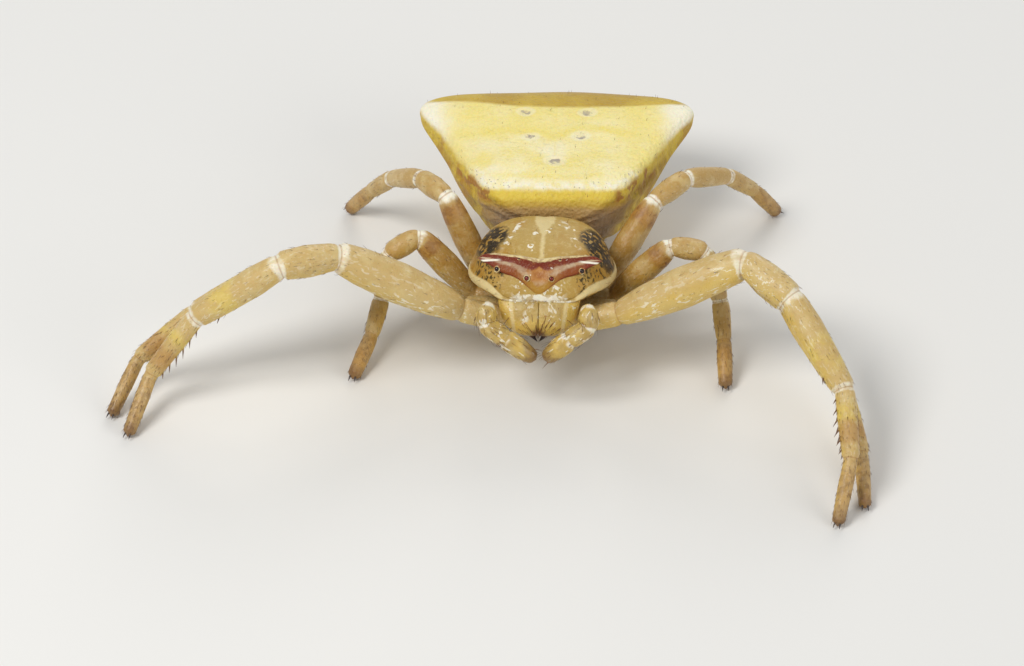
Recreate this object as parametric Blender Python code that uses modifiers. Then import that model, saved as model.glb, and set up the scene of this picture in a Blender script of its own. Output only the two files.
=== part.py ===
"""A female crab spider at life size, in a still waiting pose with its front legs held wide.

Metres, +Z up. The spider faces -Y and its left side is +X. It is modelled in millimetres, and every piece
hangs under one empty whose scale makes it metres. The body has its own frame: the origin is the middle of
the carapace at the height of its margin, and the frame is tipped nose up.
"""
from math import asin, cos, pi, radians, sin, sqrt

import bmesh
import bpy
from mathutils import Matrix, Vector

MM = 0.001
MERGE = 1e-5

# Place of the body frame over the floor, which centres the whole spider on the origin
BODY_AT = (1.22, -0.24, 2.15)
NOSE_UP = 12.0
ABDOMEN_YAW = 1.5
ABDOMEN_ASIDE = 0.23

# Gap between neighbouring pieces, and the height of a foot's centre over the floor
GAP = 0.12
FOOT_HEIGHT = 0.17
FOOT_REACH = 0.18

# Round pieces, and the height of their domed ends as a share of the end's radius
SIDES = 10
DOME_STEPS = 2
DOME_RISE = 0.65
SPINE_SIDES = 5

SIDE_SIGN = {"left": 1, "right": -1}

# Carapace rows from the clypeus to the rear: y, half width, top, margin, underside
CARAPACE_ROWS = (
    (-1.52, 0.92, 0.30, 0.16, 0.10),
    (-1.36, 1.20, 0.68, 0.10, 0.00),
    (-0.98, 1.54, 1.10, 0.02, -0.12),
    (-0.30, 1.90, 1.26, -0.06, -0.20),
    (0.45, 1.96, 1.32, -0.06, -0.20),
    (1.15, 1.72, 1.26, -0.02, -0.18),
    (1.66, 1.24, 0.84, 0.04, -0.12),
)
# Half section of the carapace: share of the half width, share of the height from margin to top
CARAPACE_SECTION = ((0.0, 1.0), (0.44, 0.98), (0.78, 0.74), (0.90, 0.30), (1.0, 0.06))
CARAPACE_UNDER = 0.6

# Face plane of the eye ridge: its upper edge, and how steeply the face falls
RIDGE_TOP = (0.0, -0.92, 1.06)
FACE_SLOPE = 60.0
# Ridge rows from the middle to the horn's tip: x, upper edge and lower edge down the face, stand off
RIDGE_ROWS = (
    (0.0, 0.02, 1.10, 0.24),
    (0.34, -0.08, 0.78, 0.24),
    (0.68, -0.12, 0.50, 0.22),
    (1.02, -0.10, 0.40, 0.18),
    (1.32, -0.06, 0.26, 0.13),
    (1.57, -0.02, 0.12, 0.06),
)
RIDGE_ROOT = 0.34

# Eyes of one side: x, distance down the face, degrees upwards and outwards that the eye looks, radius
EYES = {
    "eye_anterior_median": (0.27, 0.47, 25, 10, 0.070),
    "eye_anterior_lateral": (0.98, 0.27, 25, 25, 0.070),
    "eye_posterior_median": (0.50, 0.08, 60, 0, 0.055),
    "eye_posterior_lateral": (1.12, -0.06, 140, -30, 0.055),
}
EYE_SUNK = 0.30
EYE_GAP = 0.025

# Abdomen rows from front to rear: y above, y below, plateau half width and height, middle height,
# flank half width and height, belly half width and height
ABDOMEN_ROWS = (
    (1.66, 2.32, 1.00, 0.95, 1.02, 0.95, 0.38, 0.45, -0.12),
    (1.92, 2.52, 1.72, 1.52, 1.60, 1.55, 0.42, 0.95, -0.48),
    (2.80, 3.10, 2.20, 1.62, 1.76, 2.15, 0.50, 1.30, -0.72),
    (3.85, 3.90, 2.76, 1.74, 1.88, 2.55, 0.66, 1.50, -0.78),
    (4.75, 4.70, 3.16, 1.94, 1.98, 2.95, 0.96, 1.50, -0.74),
    (5.45, 5.40, 4.16, 2.24, 2.06, 3.16, 1.24, 1.35, -0.60),
    (6.20, 6.05, 3.04, 2.08, 2.16, 2.60, 0.96, 1.15, -0.38),
    (6.86, 6.66, 2.50, 1.68, 1.90, 1.80, 0.64, 0.80, -0.08),
    (7.10, 7.06, 1.30, 0.94, 1.08, 1.00, 0.50, 0.45, 0.12),
)
ABDOMEN_INNER_SHARE = 0.55

# Turned pieces: share of the length, share of the radius
COXA_SHAPE = ((0.0, 0.80), (0.45, 1.0), (1.0, 0.78))
FEMUR_SHAPE = ((0.0, 0.58), (0.22, 0.88), (0.5, 1.0), (0.8, 0.90), (1.0, 0.74))
PATELLA_SHAPE = ((0.0, 0.72), (0.5, 0.96), (1.0, 0.84))
TIBIA_SHAPE = ((0.0, 0.82), (0.3, 1.0), (0.7, 0.90), (1.0, 0.74))
METATARSUS_SHAPE = ((0.0, 0.98), (0.4, 1.0), (1.0, 0.84))
TARSUS_SHAPE = ((0.0, 0.90), (0.4, 1.0), (1.0, 0.88))
PALP_TIP_SHAPE = ((0.0, 0.96), (0.5, 1.0), (1.0, 0.60))
CHELICERA_SHAPE = ((0.0, 0.94), (0.3, 1.0), (0.65, 0.90), (1.0, 0.50))
PEDICEL_SHAPE = ((0.0, 1.0), (0.5, 0.9), (1.0, 0.9))
SPINNERET_SHAPE = ((0.0, 0.95), (0.5, 1.0), (1.0, 0.7))

# A jaw's root and lower end and its thickness, then its fang from root to tip
CHELICERA_AXIS = ((0.47, -1.26, -0.04), (0.36, -1.62, -0.74))
CHELICERA_RADIUS = 0.40
FANG_AXIS = ((0.30, -1.70, -0.62), (0.07, -1.80, -0.84))
FANG_RADIUS = 0.09

# A palp's hip, knee, elbow, wrist and tip, its thickness, and that of its last piece
PALP_JOINTS = (
    (1.16, -1.46, -0.40), (1.24, -2.00, 0.24), (1.26, -2.18, -0.12), (0.80, -2.24, -0.44), (0.20, -2.22, -0.96)
)
PALP_RADIUS = 0.25
PALP_TIP_RADIUS = 0.22

# The waist and the spinnerets: start, end and thickness. The breastplate: its middle and half sizes.
PEDICEL = ((0.02, 1.34, -0.56), (0.10, 2.30, -0.32), 0.25)
SPINNERETS = ((0.0, 7.02, 0.20), (-0.02, 7.40, 0.06), 0.32)
STERNUM_AT = (0.0, 0.08, -0.74)
STERNUM_SIZE = (0.62, 1.00, 0.30)

# Each leg: where its coxa leaves the sternum, its hip, then length and radius of femur, patella, tibia,
# metatarsus and tarsus
COXA_AT = {1: (0.74, -0.74, -0.72), 2: (0.80, -0.06, -0.80), 3: (0.78, 0.58, -0.80), 4: (0.62, 1.18, -0.82)}
HIP_AT = {1: (1.95, -1.00, -0.35), 2: (1.92, -0.02, -0.80), 3: (1.72, 0.66, -0.75), 4: (1.40, 1.28, -0.80)}
COXA_RADIUS = {1: 0.33, 2: 0.32, 3: 0.26, 4: 0.26}
LENGTHS = {
    1: (3.50, 1.50, 2.60, 1.90, 1.50),
    2: (3.50, 1.40, 2.55, 1.85, 1.45),
    3: (2.05, 0.85, 1.35, 1.00, 1.10),
    4: (2.50, 1.10, 1.80, 1.40, 1.10),
}
RADII = {
    1: (0.50, 0.42, 0.38, 0.26, 0.22),
    2: (0.44, 0.38, 0.35, 0.25, 0.21),
    3: (0.33, 0.30, 0.26, 0.24, 0.21),
    4: (0.33, 0.30, 0.26, 0.24, 0.21),
}
SEGMENTS = ("femur", "patella", "tibia", "metatarsus", "tarsus")
SHAPES = (FEMUR_SHAPE, PATELLA_SHAPE, TIBIA_SHAPE, METATARSUS_SHAPE, TARSUS_SHAPE)

# The pose: for each segment the degrees forwards of straight out to the side, and the degrees upwards.
# A tarsus gets its own fall, because its tip lands on the floor.
POSE = {
    (1, "left"): ((-1, 29), (38, -14), (50, -36), (84, -19), 104),
    (1, "right"): ((6, 32), (26, 7), (5, -36), (21, -51), 68),
    (2, "left"): ((0, 27), (38, -21), (49, -33), (74, -19), 86),
    (2, "right"): ((5, 29), (24, 9), (11, -29), (20, -36), 63),
    (3, "left"): ((-10, 45), (1, -9), (46, -65), (81, -40), 86),
    (3, "right"): ((-14, 47), (22, -24), (34, -79), (77, -29), 69),
    (4, "left"): ((-45, 44), (-46, 6), (-51, -29), (-47, -46), -31),
    (4, "right"): ((-37, 58), (-52, -8), (-56, -34), (-50, -47), -35),
}

# Spines under the metatarsus and tibia of the long front legs: pairs, first and last share of the length
SPINE_ROWS = {"tibia": (3, 0.52, 0.86), "metatarsus": (6, 0.16, 0.88)}
SPINE_LENGTH = 0.42
SPINE_RADIUS = 0.065
SPINE_SPLAY = 26.0
SPINE_LEAN = 48.0
SPINE_ROOT = 0.72
SPINE_TIP = 0.2
CLAW_LENGTH = 0.30
CLAW_RADIUS = 0.07
CLAW_APART = 0.08
CLAW_SPLAY = 0.25
CLAW_ROOT = 0.45

# Bend that is allowed for between a coxa and its femur
HIP_BEND = 30.0

COLOURS = {
    "carapace": ((0.56, 0.42, 0.18), 0.35),
    "abdomen": ((0.80, 0.74, 0.36), 0.5),
    "leg": ((0.62, 0.47, 0.22), 0.38),
    "hind_leg": ((0.60, 0.38, 0.16), 0.38),
    "fang": ((0.30, 0.17, 0.07), 0.3),
    "eye": ((0.05, 0.01, 0.01), 0.08),
}


def body_frame():
    tip = Matrix.Rotation(radians(-NOSE_UP), 4, "X")
    return Matrix.Translation(Vector(BODY_AT)) @ tip


BODY = body_frame()


def new_collection(name):
    collection = bpy.data.collections.new(name)
    bpy.context.scene.collection.children.link(collection)
    return collection


def make_material(name):
    colour, roughness = COLOURS[name]
    material = bpy.data.materials.new(name)
    material.use_nodes = True
    shader = material.node_tree.nodes["Principled BSDF"]
    shader.inputs["Base Color"].default_value = (*colour, 1.0)
    shader.inputs["Roughness"].default_value = roughness
    shader.inputs["Metallic"].default_value = 0.0
    material.diffuse_color = (*colour, 1.0)
    return material


def add_object(name, bm, collection, material=None):
    mesh = bpy.data.meshes.new(name)
    bm.to_mesh(mesh)
    bm.free()
    obj = bpy.data.objects.new(name, mesh)
    collection.objects.link(obj)
    if material:
        mesh.materials.append(material)
    return obj


def largest_body(mesh):
    """Keeps the closed surface that encloses the most."""
    bm = bmesh.new()
    bm.from_mesh(mesh)
    bodies = []
    waiting = set(bm.faces)
    while waiting:
        stack = [waiting.pop()]
        faces = []
        while stack:
            face = stack.pop()
            faces.append(face)
            for edge in face.edges:
                for near in edge.link_faces:
                    if near in waiting:
                        waiting.remove(near)
                        stack.append(near)
        reach = [v.co for f in faces for v in f.verts]
        size = max((a - reach[0]).length for a in reach)
        bodies.append((size, faces))
    bodies.sort(key=lambda body: body[0])
    scraps = [face for _, faces in bodies[:-1] for face in faces]
    if scraps:
        bmesh.ops.delete(bm, geom=scraps, context="FACES")
    bm.to_mesh(mesh)
    bm.free()


def bake(obj):
    """Applies the object's modifiers and keeps one closed body."""
    evaluated = obj.evaluated_get(bpy.context.evaluated_depsgraph_get())
    mesh = bpy.data.meshes.new_from_object(evaluated)
    obj.modifiers.clear()
    obj.data = mesh
    largest_body(mesh)
    mesh.shade_smooth()


def join_pieces(obj, pieces, name):
    """Unites the object with closed pieces, which are then removed."""
    group = new_collection(name + "_pieces")
    for piece in pieces:
        for old in piece.users_collection:
            old.objects.unlink(piece)
        group.objects.link(piece)
    union = obj.modifiers.new("union", "BOOLEAN")
    union.operation = "UNION"
    union.operand_type = "COLLECTION"
    union.collection = group
    union.solver = "EXACT"
    bpy.context.view_layer.update()
    bake(obj)
    for piece in pieces:
        bpy.data.objects.remove(piece)
    bpy.data.collections.remove(group)


def cut(obj, cutters):
    """Cuts the object with every piece of a collection."""
    difference = obj.modifiers.new("cut", "BOOLEAN")
    difference.operation = "DIFFERENCE"
    difference.operand_type = "COLLECTION"
    difference.collection = cutters
    difference.solver = "EXACT"
    bpy.context.view_layer.update()
    bake(obj)


def turned_profile(length, radius, shape):
    """Outer side of a turned piece from top to bottom, with a dome at each end."""
    low, high = shape[0][1] * radius, shape[-1][1] * radius
    rise_low, rise_high = low * DOME_RISE, high * DOME_RISE
    quarter = [pi / 2 * step / DOME_STEPS for step in range(DOME_STEPS + 1)]
    top = [(high * sin(a), length - rise_high + rise_high * cos(a)) for a in quarter]
    bottom = [(low * sin(a), rise_low - rise_low * cos(a)) for a in reversed(quarter)]
    straight = length - rise_low - rise_high
    inner = [(radius * r, rise_low + straight * t) for t, r in reversed(shape[1:-1])]
    return top + inner + bottom


def turned(name, start, end, radius, shape, collection, material):
    """A turned piece from start to end, both in the world frame."""
    axis = end - start
    bm = bmesh.new()
    verts = [bm.verts.new((r, 0.0, z)) for r, z in turned_profile(axis.length, radius, shape)]
    for above, below in zip(verts, verts[1:]):
        bm.edges.new((above, below))
    obj = add_object(name, bm, collection, material)
    screw = obj.modifiers.new("turn", "SCREW")
    screw.steps = SIDES
    screw.render_steps = SIDES
    screw.use_merge_vertices = True
    screw.merge_threshold = MERGE
    screw.use_smooth_shade = True
    turn = axis.to_track_quat("Z", "Y").to_matrix().to_4x4()
    obj.matrix_world = Matrix.Translation(start) @ turn
    return obj


def cone(name, root, direction, length, radius, collection, material):
    bm = bmesh.new()
    bmesh.ops.create_cone(
        bm, cap_ends=True, segments=SPINE_SIDES, radius1=radius, radius2=radius * SPINE_TIP, depth=length
    )
    bmesh.ops.translate(bm, verts=bm.verts, vec=(0.0, 0.0, length / 2))
    obj = add_object(name, bm, collection, material)
    turn = direction.to_track_quat("Z", "Y").to_matrix().to_4x4()
    obj.matrix_world = Matrix.Translation(root) @ turn
    return obj


def half_cage(name, rows, collection, material):
    """Half of a soft form from rows of points, mirrored across x = 0 and subdivided."""
    bm = bmesh.new()
    grid = [[bm.verts.new(p) for p in row] for row in rows]
    for row, following in zip(grid, grid[1:]):
        for k in range(len(row) - 1):
            bm.faces.new((row[k], row[k + 1], following[k + 1], following[k]))
    bm.faces.new(list(reversed(grid[0])))
    bm.faces.new(grid[-1])
    obj = add_object(name, bm, collection, material)
    mirror = obj.modifiers.new("mirror", "MIRROR")
    mirror.merge_threshold = MERGE
    smooth = obj.modifiers.new("smooth", "SUBSURF")
    smooth.levels = 2
    smooth.render_levels = 2
    return obj


def carapace_row(y, half, top, margin, under):
    row = [(half * w, y, margin + (top - margin) * h) for w, h in CARAPACE_SECTION]
    row.append((half * CARAPACE_UNDER, y, under))
    row.append((0.0, y, under))
    return row


def face_point(x, down, out):
    """A point on the face: down the slope from the ridge's upper edge, and out from it."""
    slope = radians(FACE_SLOPE)
    return (
        x,
        RIDGE_TOP[1] - down * cos(slope) - out * sin(slope),
        RIDGE_TOP[2] - down * sin(slope) + out * cos(slope),
    )


def ridge_rows():
    rows = []
    for x, upper, lower, stand in RIDGE_ROWS:
        middle = (upper + lower) / 2
        reach = (lower - upper) / 2
        root = -RIDGE_ROOT * min(1.0, reach / 0.3)
        rows.append([face_point(x, d, n) for d, n in (
            (upper, 0.3 * stand), (middle, stand), (lower, 0.3 * stand), (middle, root)
        )])
    return rows


def make_ridge(collection, material):
    """The eye ridge with its two horns: rings across the face, closed at the horn's tip."""
    bm = bmesh.new()
    rings = [[bm.verts.new(p) for p in row] for row in ridge_rows()]
    count = len(rings[0])
    for ring, following in zip(rings, rings[1:]):
        for k in range(count):
            n = (k + 1) % count
            bm.faces.new((ring[k], ring[n], following[n], following[k]))
    bm.faces.new(rings[-1])
    obj = add_object("ridge", bm, collection, material)
    mirror = obj.modifiers.new("mirror", "MIRROR")
    mirror.merge_threshold = MERGE
    smooth = obj.modifiers.new("smooth", "SUBSURF")
    smooth.levels = 2
    smooth.render_levels = 2
    obj.matrix_world = BODY
    return obj


def eye_places(carapace):
    """Name, centre and radius of each eye, sunk where its line of sight leaves the head."""
    places = []
    for name, (x, down, up, aside, radius) in EYES.items():
        for side, sign in SIDE_SIGN.items():
            a, e = radians(aside), radians(up)
            look = Vector((sign * sin(a) * cos(e), -cos(a) * cos(e), sin(e)))
            outside = Vector(face_point(sign * x, down, 0.0)) + look
            _, surface, _, _ = carapace.ray_cast(outside, -look)
            place = BODY @ (surface - look * EYE_SUNK * radius)
            places.append((f"{name}_{side}", place, radius))
    return places


def ball(name, place, radius, collection, material=None):
    bm = bmesh.new()
    bmesh.ops.create_uvsphere(bm, u_segments=8, v_segments=6, radius=radius)
    obj = add_object(name, bm, collection, material)
    obj.location = place
    return obj


def make_head(parts, materials):
    """The carapace with its eye ridge, and the eyes in their sockets."""
    rows = [carapace_row(*row) for row in CARAPACE_ROWS]
    carapace = half_cage("carapace", rows, parts, materials["carapace"])
    carapace.matrix_world = BODY
    join_pieces(carapace, [make_ridge(parts, materials["carapace"])], "ridge")
    bpy.context.view_layer.update()
    places = eye_places(carapace)
    sockets = new_collection("sockets")
    for name, place, radius in places:
        ball("socket_" + name, place, radius + EYE_GAP, sockets)
    cut(carapace, sockets)
    for socket in list(sockets.objects):
        bpy.data.objects.remove(socket)
    bpy.data.collections.remove(sockets)
    for name, place, radius in places:
        eye = ball(name, place, radius, parts, materials["eye"])
        eye.data.shade_smooth()


def abdomen_row(y_top, y_low, edge, edge_z, middle_z, flank, flank_z, belly, belly_z):
    inner = ABDOMEN_INNER_SHARE
    return [
        (0.0, y_top, middle_z),
        (edge * inner, y_top, middle_z + (edge_z - middle_z) * inner),
        (edge, y_top, edge_z),
        (flank, (y_top + y_low) / 2, flank_z),
        (belly, y_low, belly_z),
        (0.0, y_low, belly_z - 0.08),
    ]


def make_abdomen(parts, materials):
    rows = [abdomen_row(*row) for row in ABDOMEN_ROWS]
    abdomen = half_cage("abdomen", rows, parts, materials["abdomen"])
    yaw = Matrix.Rotation(radians(ABDOMEN_YAW), 4, "Z")
    abdomen.matrix_world = BODY @ Matrix.Translation((ABDOMEN_ASIDE, 0.0, 0.0)) @ yaw
    start, end, radius = PEDICEL
    start, end = BODY @ Vector(start), BODY @ Vector(end)
    turned("pedicel", start, end, radius, PEDICEL_SHAPE, parts, materials["carapace"])
    start, end, radius = SPINNERETS
    start, end = BODY @ Vector(start), BODY @ Vector(end)
    turned("spinnerets", start, end, radius, SPINNERET_SHAPE, parts, materials["hind_leg"])


def make_sternum(parts, materials):
    bm = bmesh.new()
    bmesh.ops.create_uvsphere(bm, u_segments=16, v_segments=8, radius=1.0)
    sternum = add_object("sternum", bm, parts, materials["carapace"])
    size = Matrix.Diagonal((*STERNUM_SIZE, 1.0))
    sternum.matrix_world = BODY @ Matrix.Translation(STERNUM_AT) @ size
    sternum.data.shade_smooth()


def placed(points, side):
    """Points of the left side in the world, or of the right side."""
    return [BODY @ Vector((SIDE_SIGN[side] * x, y, z)) for x, y, z in points]


def make_chelicera(side, parts, materials):
    """A jaw with its fang."""
    name = "chelicera_" + side
    start, end = placed(CHELICERA_AXIS, side)
    base = turned(name, start, end, CHELICERA_RADIUS, CHELICERA_SHAPE, parts, materials["carapace"])
    root, tip = placed(FANG_AXIS, side)
    fang = cone("fang", root, tip - root, (tip - root).length, FANG_RADIUS, parts, materials["fang"])
    join_pieces(base, [fang], name)


def make_palp(side, parts, materials):
    """A palp in two nodes: over the knee to the elbow, and from the elbow to the tip before the fangs."""
    hip, knee, elbow, wrist, tip = placed(PALP_JOINTS, side)
    rising, falling = (knee - hip).normalized(), (elbow - knee).normalized()
    inward, last = (wrist - elbow).normalized(), (tip - wrist).normalized()
    material = materials["leg"]
    dome = PATELLA_SHAPE[-1][1] * PALP_RADIUS * DOME_RISE
    back = setback(PATELLA_SHAPE[-1][1] * PALP_RADIUS, falling.angle(inward))
    upper = turned(f"palp_{side}_upper", hip, knee + rising * dome, PALP_RADIUS, PATELLA_SHAPE, parts, material)
    start, end = knee - falling * dome, elbow - falling * back
    bent = turned("palp_knee", start, end, PALP_RADIUS, PATELLA_SHAPE, parts, material)
    join_pieces(upper, [bent], upper.name)
    start, end = elbow + inward * back, wrist + inward * dome
    lower = turned(f"palp_{side}_lower", start, end, PALP_RADIUS, PATELLA_SHAPE, parts, material)
    start = wrist - last * dome
    tarsus = turned("palp_tarsus", start, tip, PALP_TIP_RADIUS, PALP_TIP_SHAPE, parts, material)
    join_pieces(lower, [tarsus], lower.name)


def direction(side, forward, up):
    a, e = radians(forward), radians(up)
    return Vector((SIDE_SIGN[side] * cos(a) * cos(e), -sin(a) * cos(e), sin(e)))


def leg_joints(number, side):
    """The joints from hip to tip in the world frame."""
    x, y, z = HIP_AT[number]
    joints = [BODY @ Vector((SIDE_SIGN[side] * x, y, z))]
    lengths = LENGTHS[number]
    *angles, last_forward = POSE[(number, side)]
    for length, (forward, up) in zip(lengths, angles):
        joints.append(joints[-1] + direction(side, forward, up) * length)
    fall = (FOOT_HEIGHT - joints[-1].z) / (lengths[-1])
    up = asin(fall) * 180 / pi
    joints.append(joints[-1] + direction(side, last_forward, up) * lengths[-1])
    return joints


def setback(radius, bend):
    """How far a domed end stops short of a joint, so that it stays half the gap off the plane between
    the two segments. The dome is half an ellipsoid, whose reach along a line follows from its two radii."""
    half = bend / 2
    rise = DOME_RISE * radius
    reach = sqrt((rise * cos(half)) ** 2 + (radius * sin(half)) ** 2)
    return (reach + GAP / 2) / cos(half) - rise


def spines(name, start, end, inner, radius, rows, collection, material):
    """Pairs of spines along a segment's inner side, leaning to its tip."""
    pairs, first, last = rows
    axis = (end - start).normalized()
    across = axis.cross(inner)
    lean = radians(SPINE_LEAN)
    made = []
    for pair in range(pairs):
        share = first + (last - first) * pair / (pairs - 1)
        for sign in (1, -1):
            splay = radians(SPINE_SPLAY) * sign
            outward = inner * cos(splay) + across * sin(splay)
            root = start + (end - start) * share + outward * radius * SPINE_ROOT
            aim = outward * sin(lean) + axis * cos(lean)
            made.append(cone(
                f"{name}_spine", root, aim, SPINE_LENGTH, SPINE_RADIUS, collection, material
            ))
    return made


def claws(name, start, tip, radius, collection, material):
    """Two claws at the end of a tarsus, level over the floor."""
    ahead = tip - start
    ahead.z = 0.0
    ahead.normalize()
    across = ahead.cross(Vector((0.0, 0.0, 1.0)))
    made = []
    for sign in (1, -1):
        root = tip + ahead * radius * CLAW_ROOT + across * sign * CLAW_APART
        aim = ahead + across * sign * CLAW_SPLAY
        made.append(cone(f"{name}_claw", root, aim, CLAW_LENGTH, CLAW_RADIUS, collection, material))
    return made


def segment_ends(joints, number, k, fused_start, fused_end):
    """Start and end of segment k between its joints, each short of the joint or, where fused, past it."""
    start, end = joints[k], joints[k + 1]
    axis = (end - start).normalized()
    shape, radius = SHAPES[k], RADII[number][k]
    low, high = shape[0][1] * radius, shape[-1][1] * radius
    if fused_start:
        start = start - axis * low * DOME_RISE
    else:
        before = start - joints[k - 1] if k else None
        bend = axis.angle(before) if before else radians(HIP_BEND)
        start = start + axis * setback(low, bend)
    if fused_end:
        end = end + axis * high * DOME_RISE
    elif k < len(SEGMENTS) - 1:
        bend = axis.angle(joints[k + 2] - joints[k + 1])
        end = end - axis * setback(high, bend)
    else:
        end = end + axis * FOOT_REACH
    return start, end


def make_leg(number, side, cutters, parts, materials):
    """A leg: the two long pairs in six nodes, the two short pairs in four."""
    long_leg = number < 3
    material = materials["leg" if long_leg else "hind_leg"]
    base = f"leg_{number}_{side}"
    joints = leg_joints(number, side)
    x, y, z = COXA_AT[number]
    root = BODY @ Vector((SIDE_SIGN[side] * x, y, z))
    inward = (joints[0] - root).normalized()
    radius = COXA_RADIUS[number]
    stop = joints[0] - inward * setback(COXA_SHAPE[-1][1] * radius, radians(HIP_BEND))
    turned(f"{base}_coxa", root, stop, radius, COXA_SHAPE, parts, material)
    chord = (joints[0] + joints[-1]) / 2
    groups = (("femur",), ("patella",), ("tibia",), ("metatarsus",), ("tarsus",))
    if not long_leg:
        groups = (("femur",), ("patella", "tibia"), ("metatarsus", "tarsus"))
    names = {("patella", "tibia"): "tibia", ("metatarsus", "tarsus"): "foot"}
    for group in groups:
        pieces = []
        for part in group:
            k = SEGMENTS.index(part)
            start, end = segment_ends(joints, number, k, part != group[0], part != group[-1])
            name = f"{base}_{names.get(group, part)}" if part == group[0] else f"{base}_{part}_piece"
            radius = RADII[number][k]
            pieces.append(turned(name, start, end, radius, SHAPES[k], parts, material))
            axis = (end - start).normalized()
            if long_leg and part in SPINE_ROWS:
                inner = chord - (start + end) / 2
                inner = (inner - axis * inner.dot(axis)).normalized()
                pieces += spines(name, start, end, inner, radius, SPINE_ROWS[part], parts, materials["fang"])
            if part == "tarsus":
                pieces += claws(name, joints[k], joints[k + 1], radius, parts, materials["fang"])
        if len(pieces) > 1:
            join_pieces(pieces[0], pieces[1:], pieces[0].name)
        if "tarsus" in group:
            cut(pieces[0], cutters)


def make_floor_cutter(cutters):
    bm = bmesh.new()
    bmesh.ops.create_cube(bm, size=1.0)
    floor = add_object("floor_cutter", bm, cutters)
    floor.scale = (40.0, 40.0, 2.0)
    floor.location = (0.0, 0.0, -1.0)
    floor.hide_render = True
    floor.display_type = "WIRE"


def main():
    for obj in list(bpy.data.objects):
        bpy.data.objects.remove(obj)
    parts = new_collection("crab_spider")
    cutters = new_collection("cutters")
    materials = {name: make_material(name) for name in COLOURS}
    make_head(parts, materials)
    make_abdomen(parts, materials)
    make_sternum(parts, materials)
    make_floor_cutter(cutters)
    for side in SIDE_SIGN:
        make_chelicera(side, parts, materials)
        make_palp(side, parts, materials)
        for number in LENGTHS:
            make_leg(number, side, cutters, parts, materials)
    life_size = bpy.data.objects.new("life_size", None)
    parts.objects.link(life_size)
    life_size.scale = (MM, MM, MM)
    for obj in parts.objects:
        if obj.type == "MESH":
            obj.parent = life_size


main()
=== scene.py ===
"""A life-size crab spider in its waiting pose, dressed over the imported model.

Shapes are worked out in millimetres and written to the meshes in metres, +Z up. The spider faces -Y and its
left side is +X. Its body has a frame of its own: the origin is the middle of the carapace at the height of
its margin, and the frame is tipped nose up.
"""

import bpy
import numpy as np
from mathutils import Matrix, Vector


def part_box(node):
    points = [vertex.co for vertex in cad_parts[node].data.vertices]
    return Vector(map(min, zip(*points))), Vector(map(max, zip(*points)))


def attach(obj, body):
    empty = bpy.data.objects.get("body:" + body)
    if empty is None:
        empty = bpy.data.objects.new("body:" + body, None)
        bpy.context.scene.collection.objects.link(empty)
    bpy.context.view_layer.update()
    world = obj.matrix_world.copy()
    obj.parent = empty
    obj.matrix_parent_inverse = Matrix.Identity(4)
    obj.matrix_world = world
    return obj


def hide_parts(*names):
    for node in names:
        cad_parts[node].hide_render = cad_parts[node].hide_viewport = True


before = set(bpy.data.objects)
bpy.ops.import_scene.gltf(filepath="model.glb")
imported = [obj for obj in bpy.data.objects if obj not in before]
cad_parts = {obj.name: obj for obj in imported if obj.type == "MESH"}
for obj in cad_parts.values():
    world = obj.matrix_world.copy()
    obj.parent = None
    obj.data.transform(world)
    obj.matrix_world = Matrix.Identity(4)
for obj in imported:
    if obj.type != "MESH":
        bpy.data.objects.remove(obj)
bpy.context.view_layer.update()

bl_info = {
    "name": "Crab Spider",
    "version": (1, 0, 0),
    "blender": (4, 5, 0),
    "location": "3D View > Sidebar > Spider",
    "description": "Builds the skin, eyes, spines, bristles and finishes of a crab spider",
    "category": "Add Mesh",
}

MM = 0.001
PER_METRE = 1000.0
SIDES = {"left": 1.0, "right": -1.0}

# Place and tilt of the body frame, and the turn and shift of the abdomen in it
BODY_AT = np.array((1.22, -0.24, 2.15))
NOSE_UP = 12.0
ABDOMEN_YAW = 1.5
ABDOMEN_ASIDE = 0.23

# Carapace rows from the clypeus to the rear: y, half width, top, margin, underside
CARAPACE_ROWS = (
    (-1.52, 0.92, 0.30, 0.18, 0.10),
    (-1.36, 1.18, 0.68, 0.30, 0.00),
    (-0.98, 1.54, 1.10, 0.26, -0.12),
    (-0.30, 1.90, 1.26, 0.06, -0.20),
    (0.45, 1.96, 1.32, -0.06, -0.20),
    (1.15, 1.72, 1.26, -0.02, -0.18),
    (1.66, 1.24, 0.84, 0.04, -0.12),
)
# Half section of the carapace: share of the half width, share of the height from margin to top
CARAPACE_SECTION = ((0.0, 1.0), (0.44, 0.98), (0.78, 0.74), (0.90, 0.30), (1.0, 0.06))
CARAPACE_UNDER = 0.6
MARGIN_COLUMN = 4.0

# The eye ridge: its upper edge, how steeply the face falls, and at each x its upper edge and lower edge
# down the face and how far it stands off
RIDGE_TOP = np.array((0.0, -0.92, 1.06))
FACE_SLOPE = 60.0
RIDGE_TABLE = np.array((
    (0.0, 0.05, 0.90, 0.19),
    (0.12, 0.03, 0.86, 0.19),
    (0.30, 0.00, 0.72, 0.19),
    (0.45, -0.036, 0.57, 0.185),
    (0.65, -0.052, 0.446, 0.18),
    (0.80, -0.07, 0.405, 0.165),
    (1.0, -0.087, 0.325, 0.15),
    (1.19, -0.098, 0.195, 0.13),
    (1.37, -0.076, 0.11, 0.11),
    (1.54, 0.0, 0.03, 0.07),
))
RIDGE_ROOT = 0.30
# Section of the ridge, from the ledge behind its crest down over the face: share of half its height from
# the middle, share of its stand off, with the last two inside the head
RIDGE_SECTION = (
    (-1.15, -0.10), (-1.12, 0.55), (-1.04, 1.02), (-0.94, 1.04), (-0.55, 0.84), (0.0, 0.86),
    (0.55, 0.94), (0.90, 0.92), (1.03, 0.62), (1.02, 0.10), (0.6, -1.0), (-0.6, -1.0),
)

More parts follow.
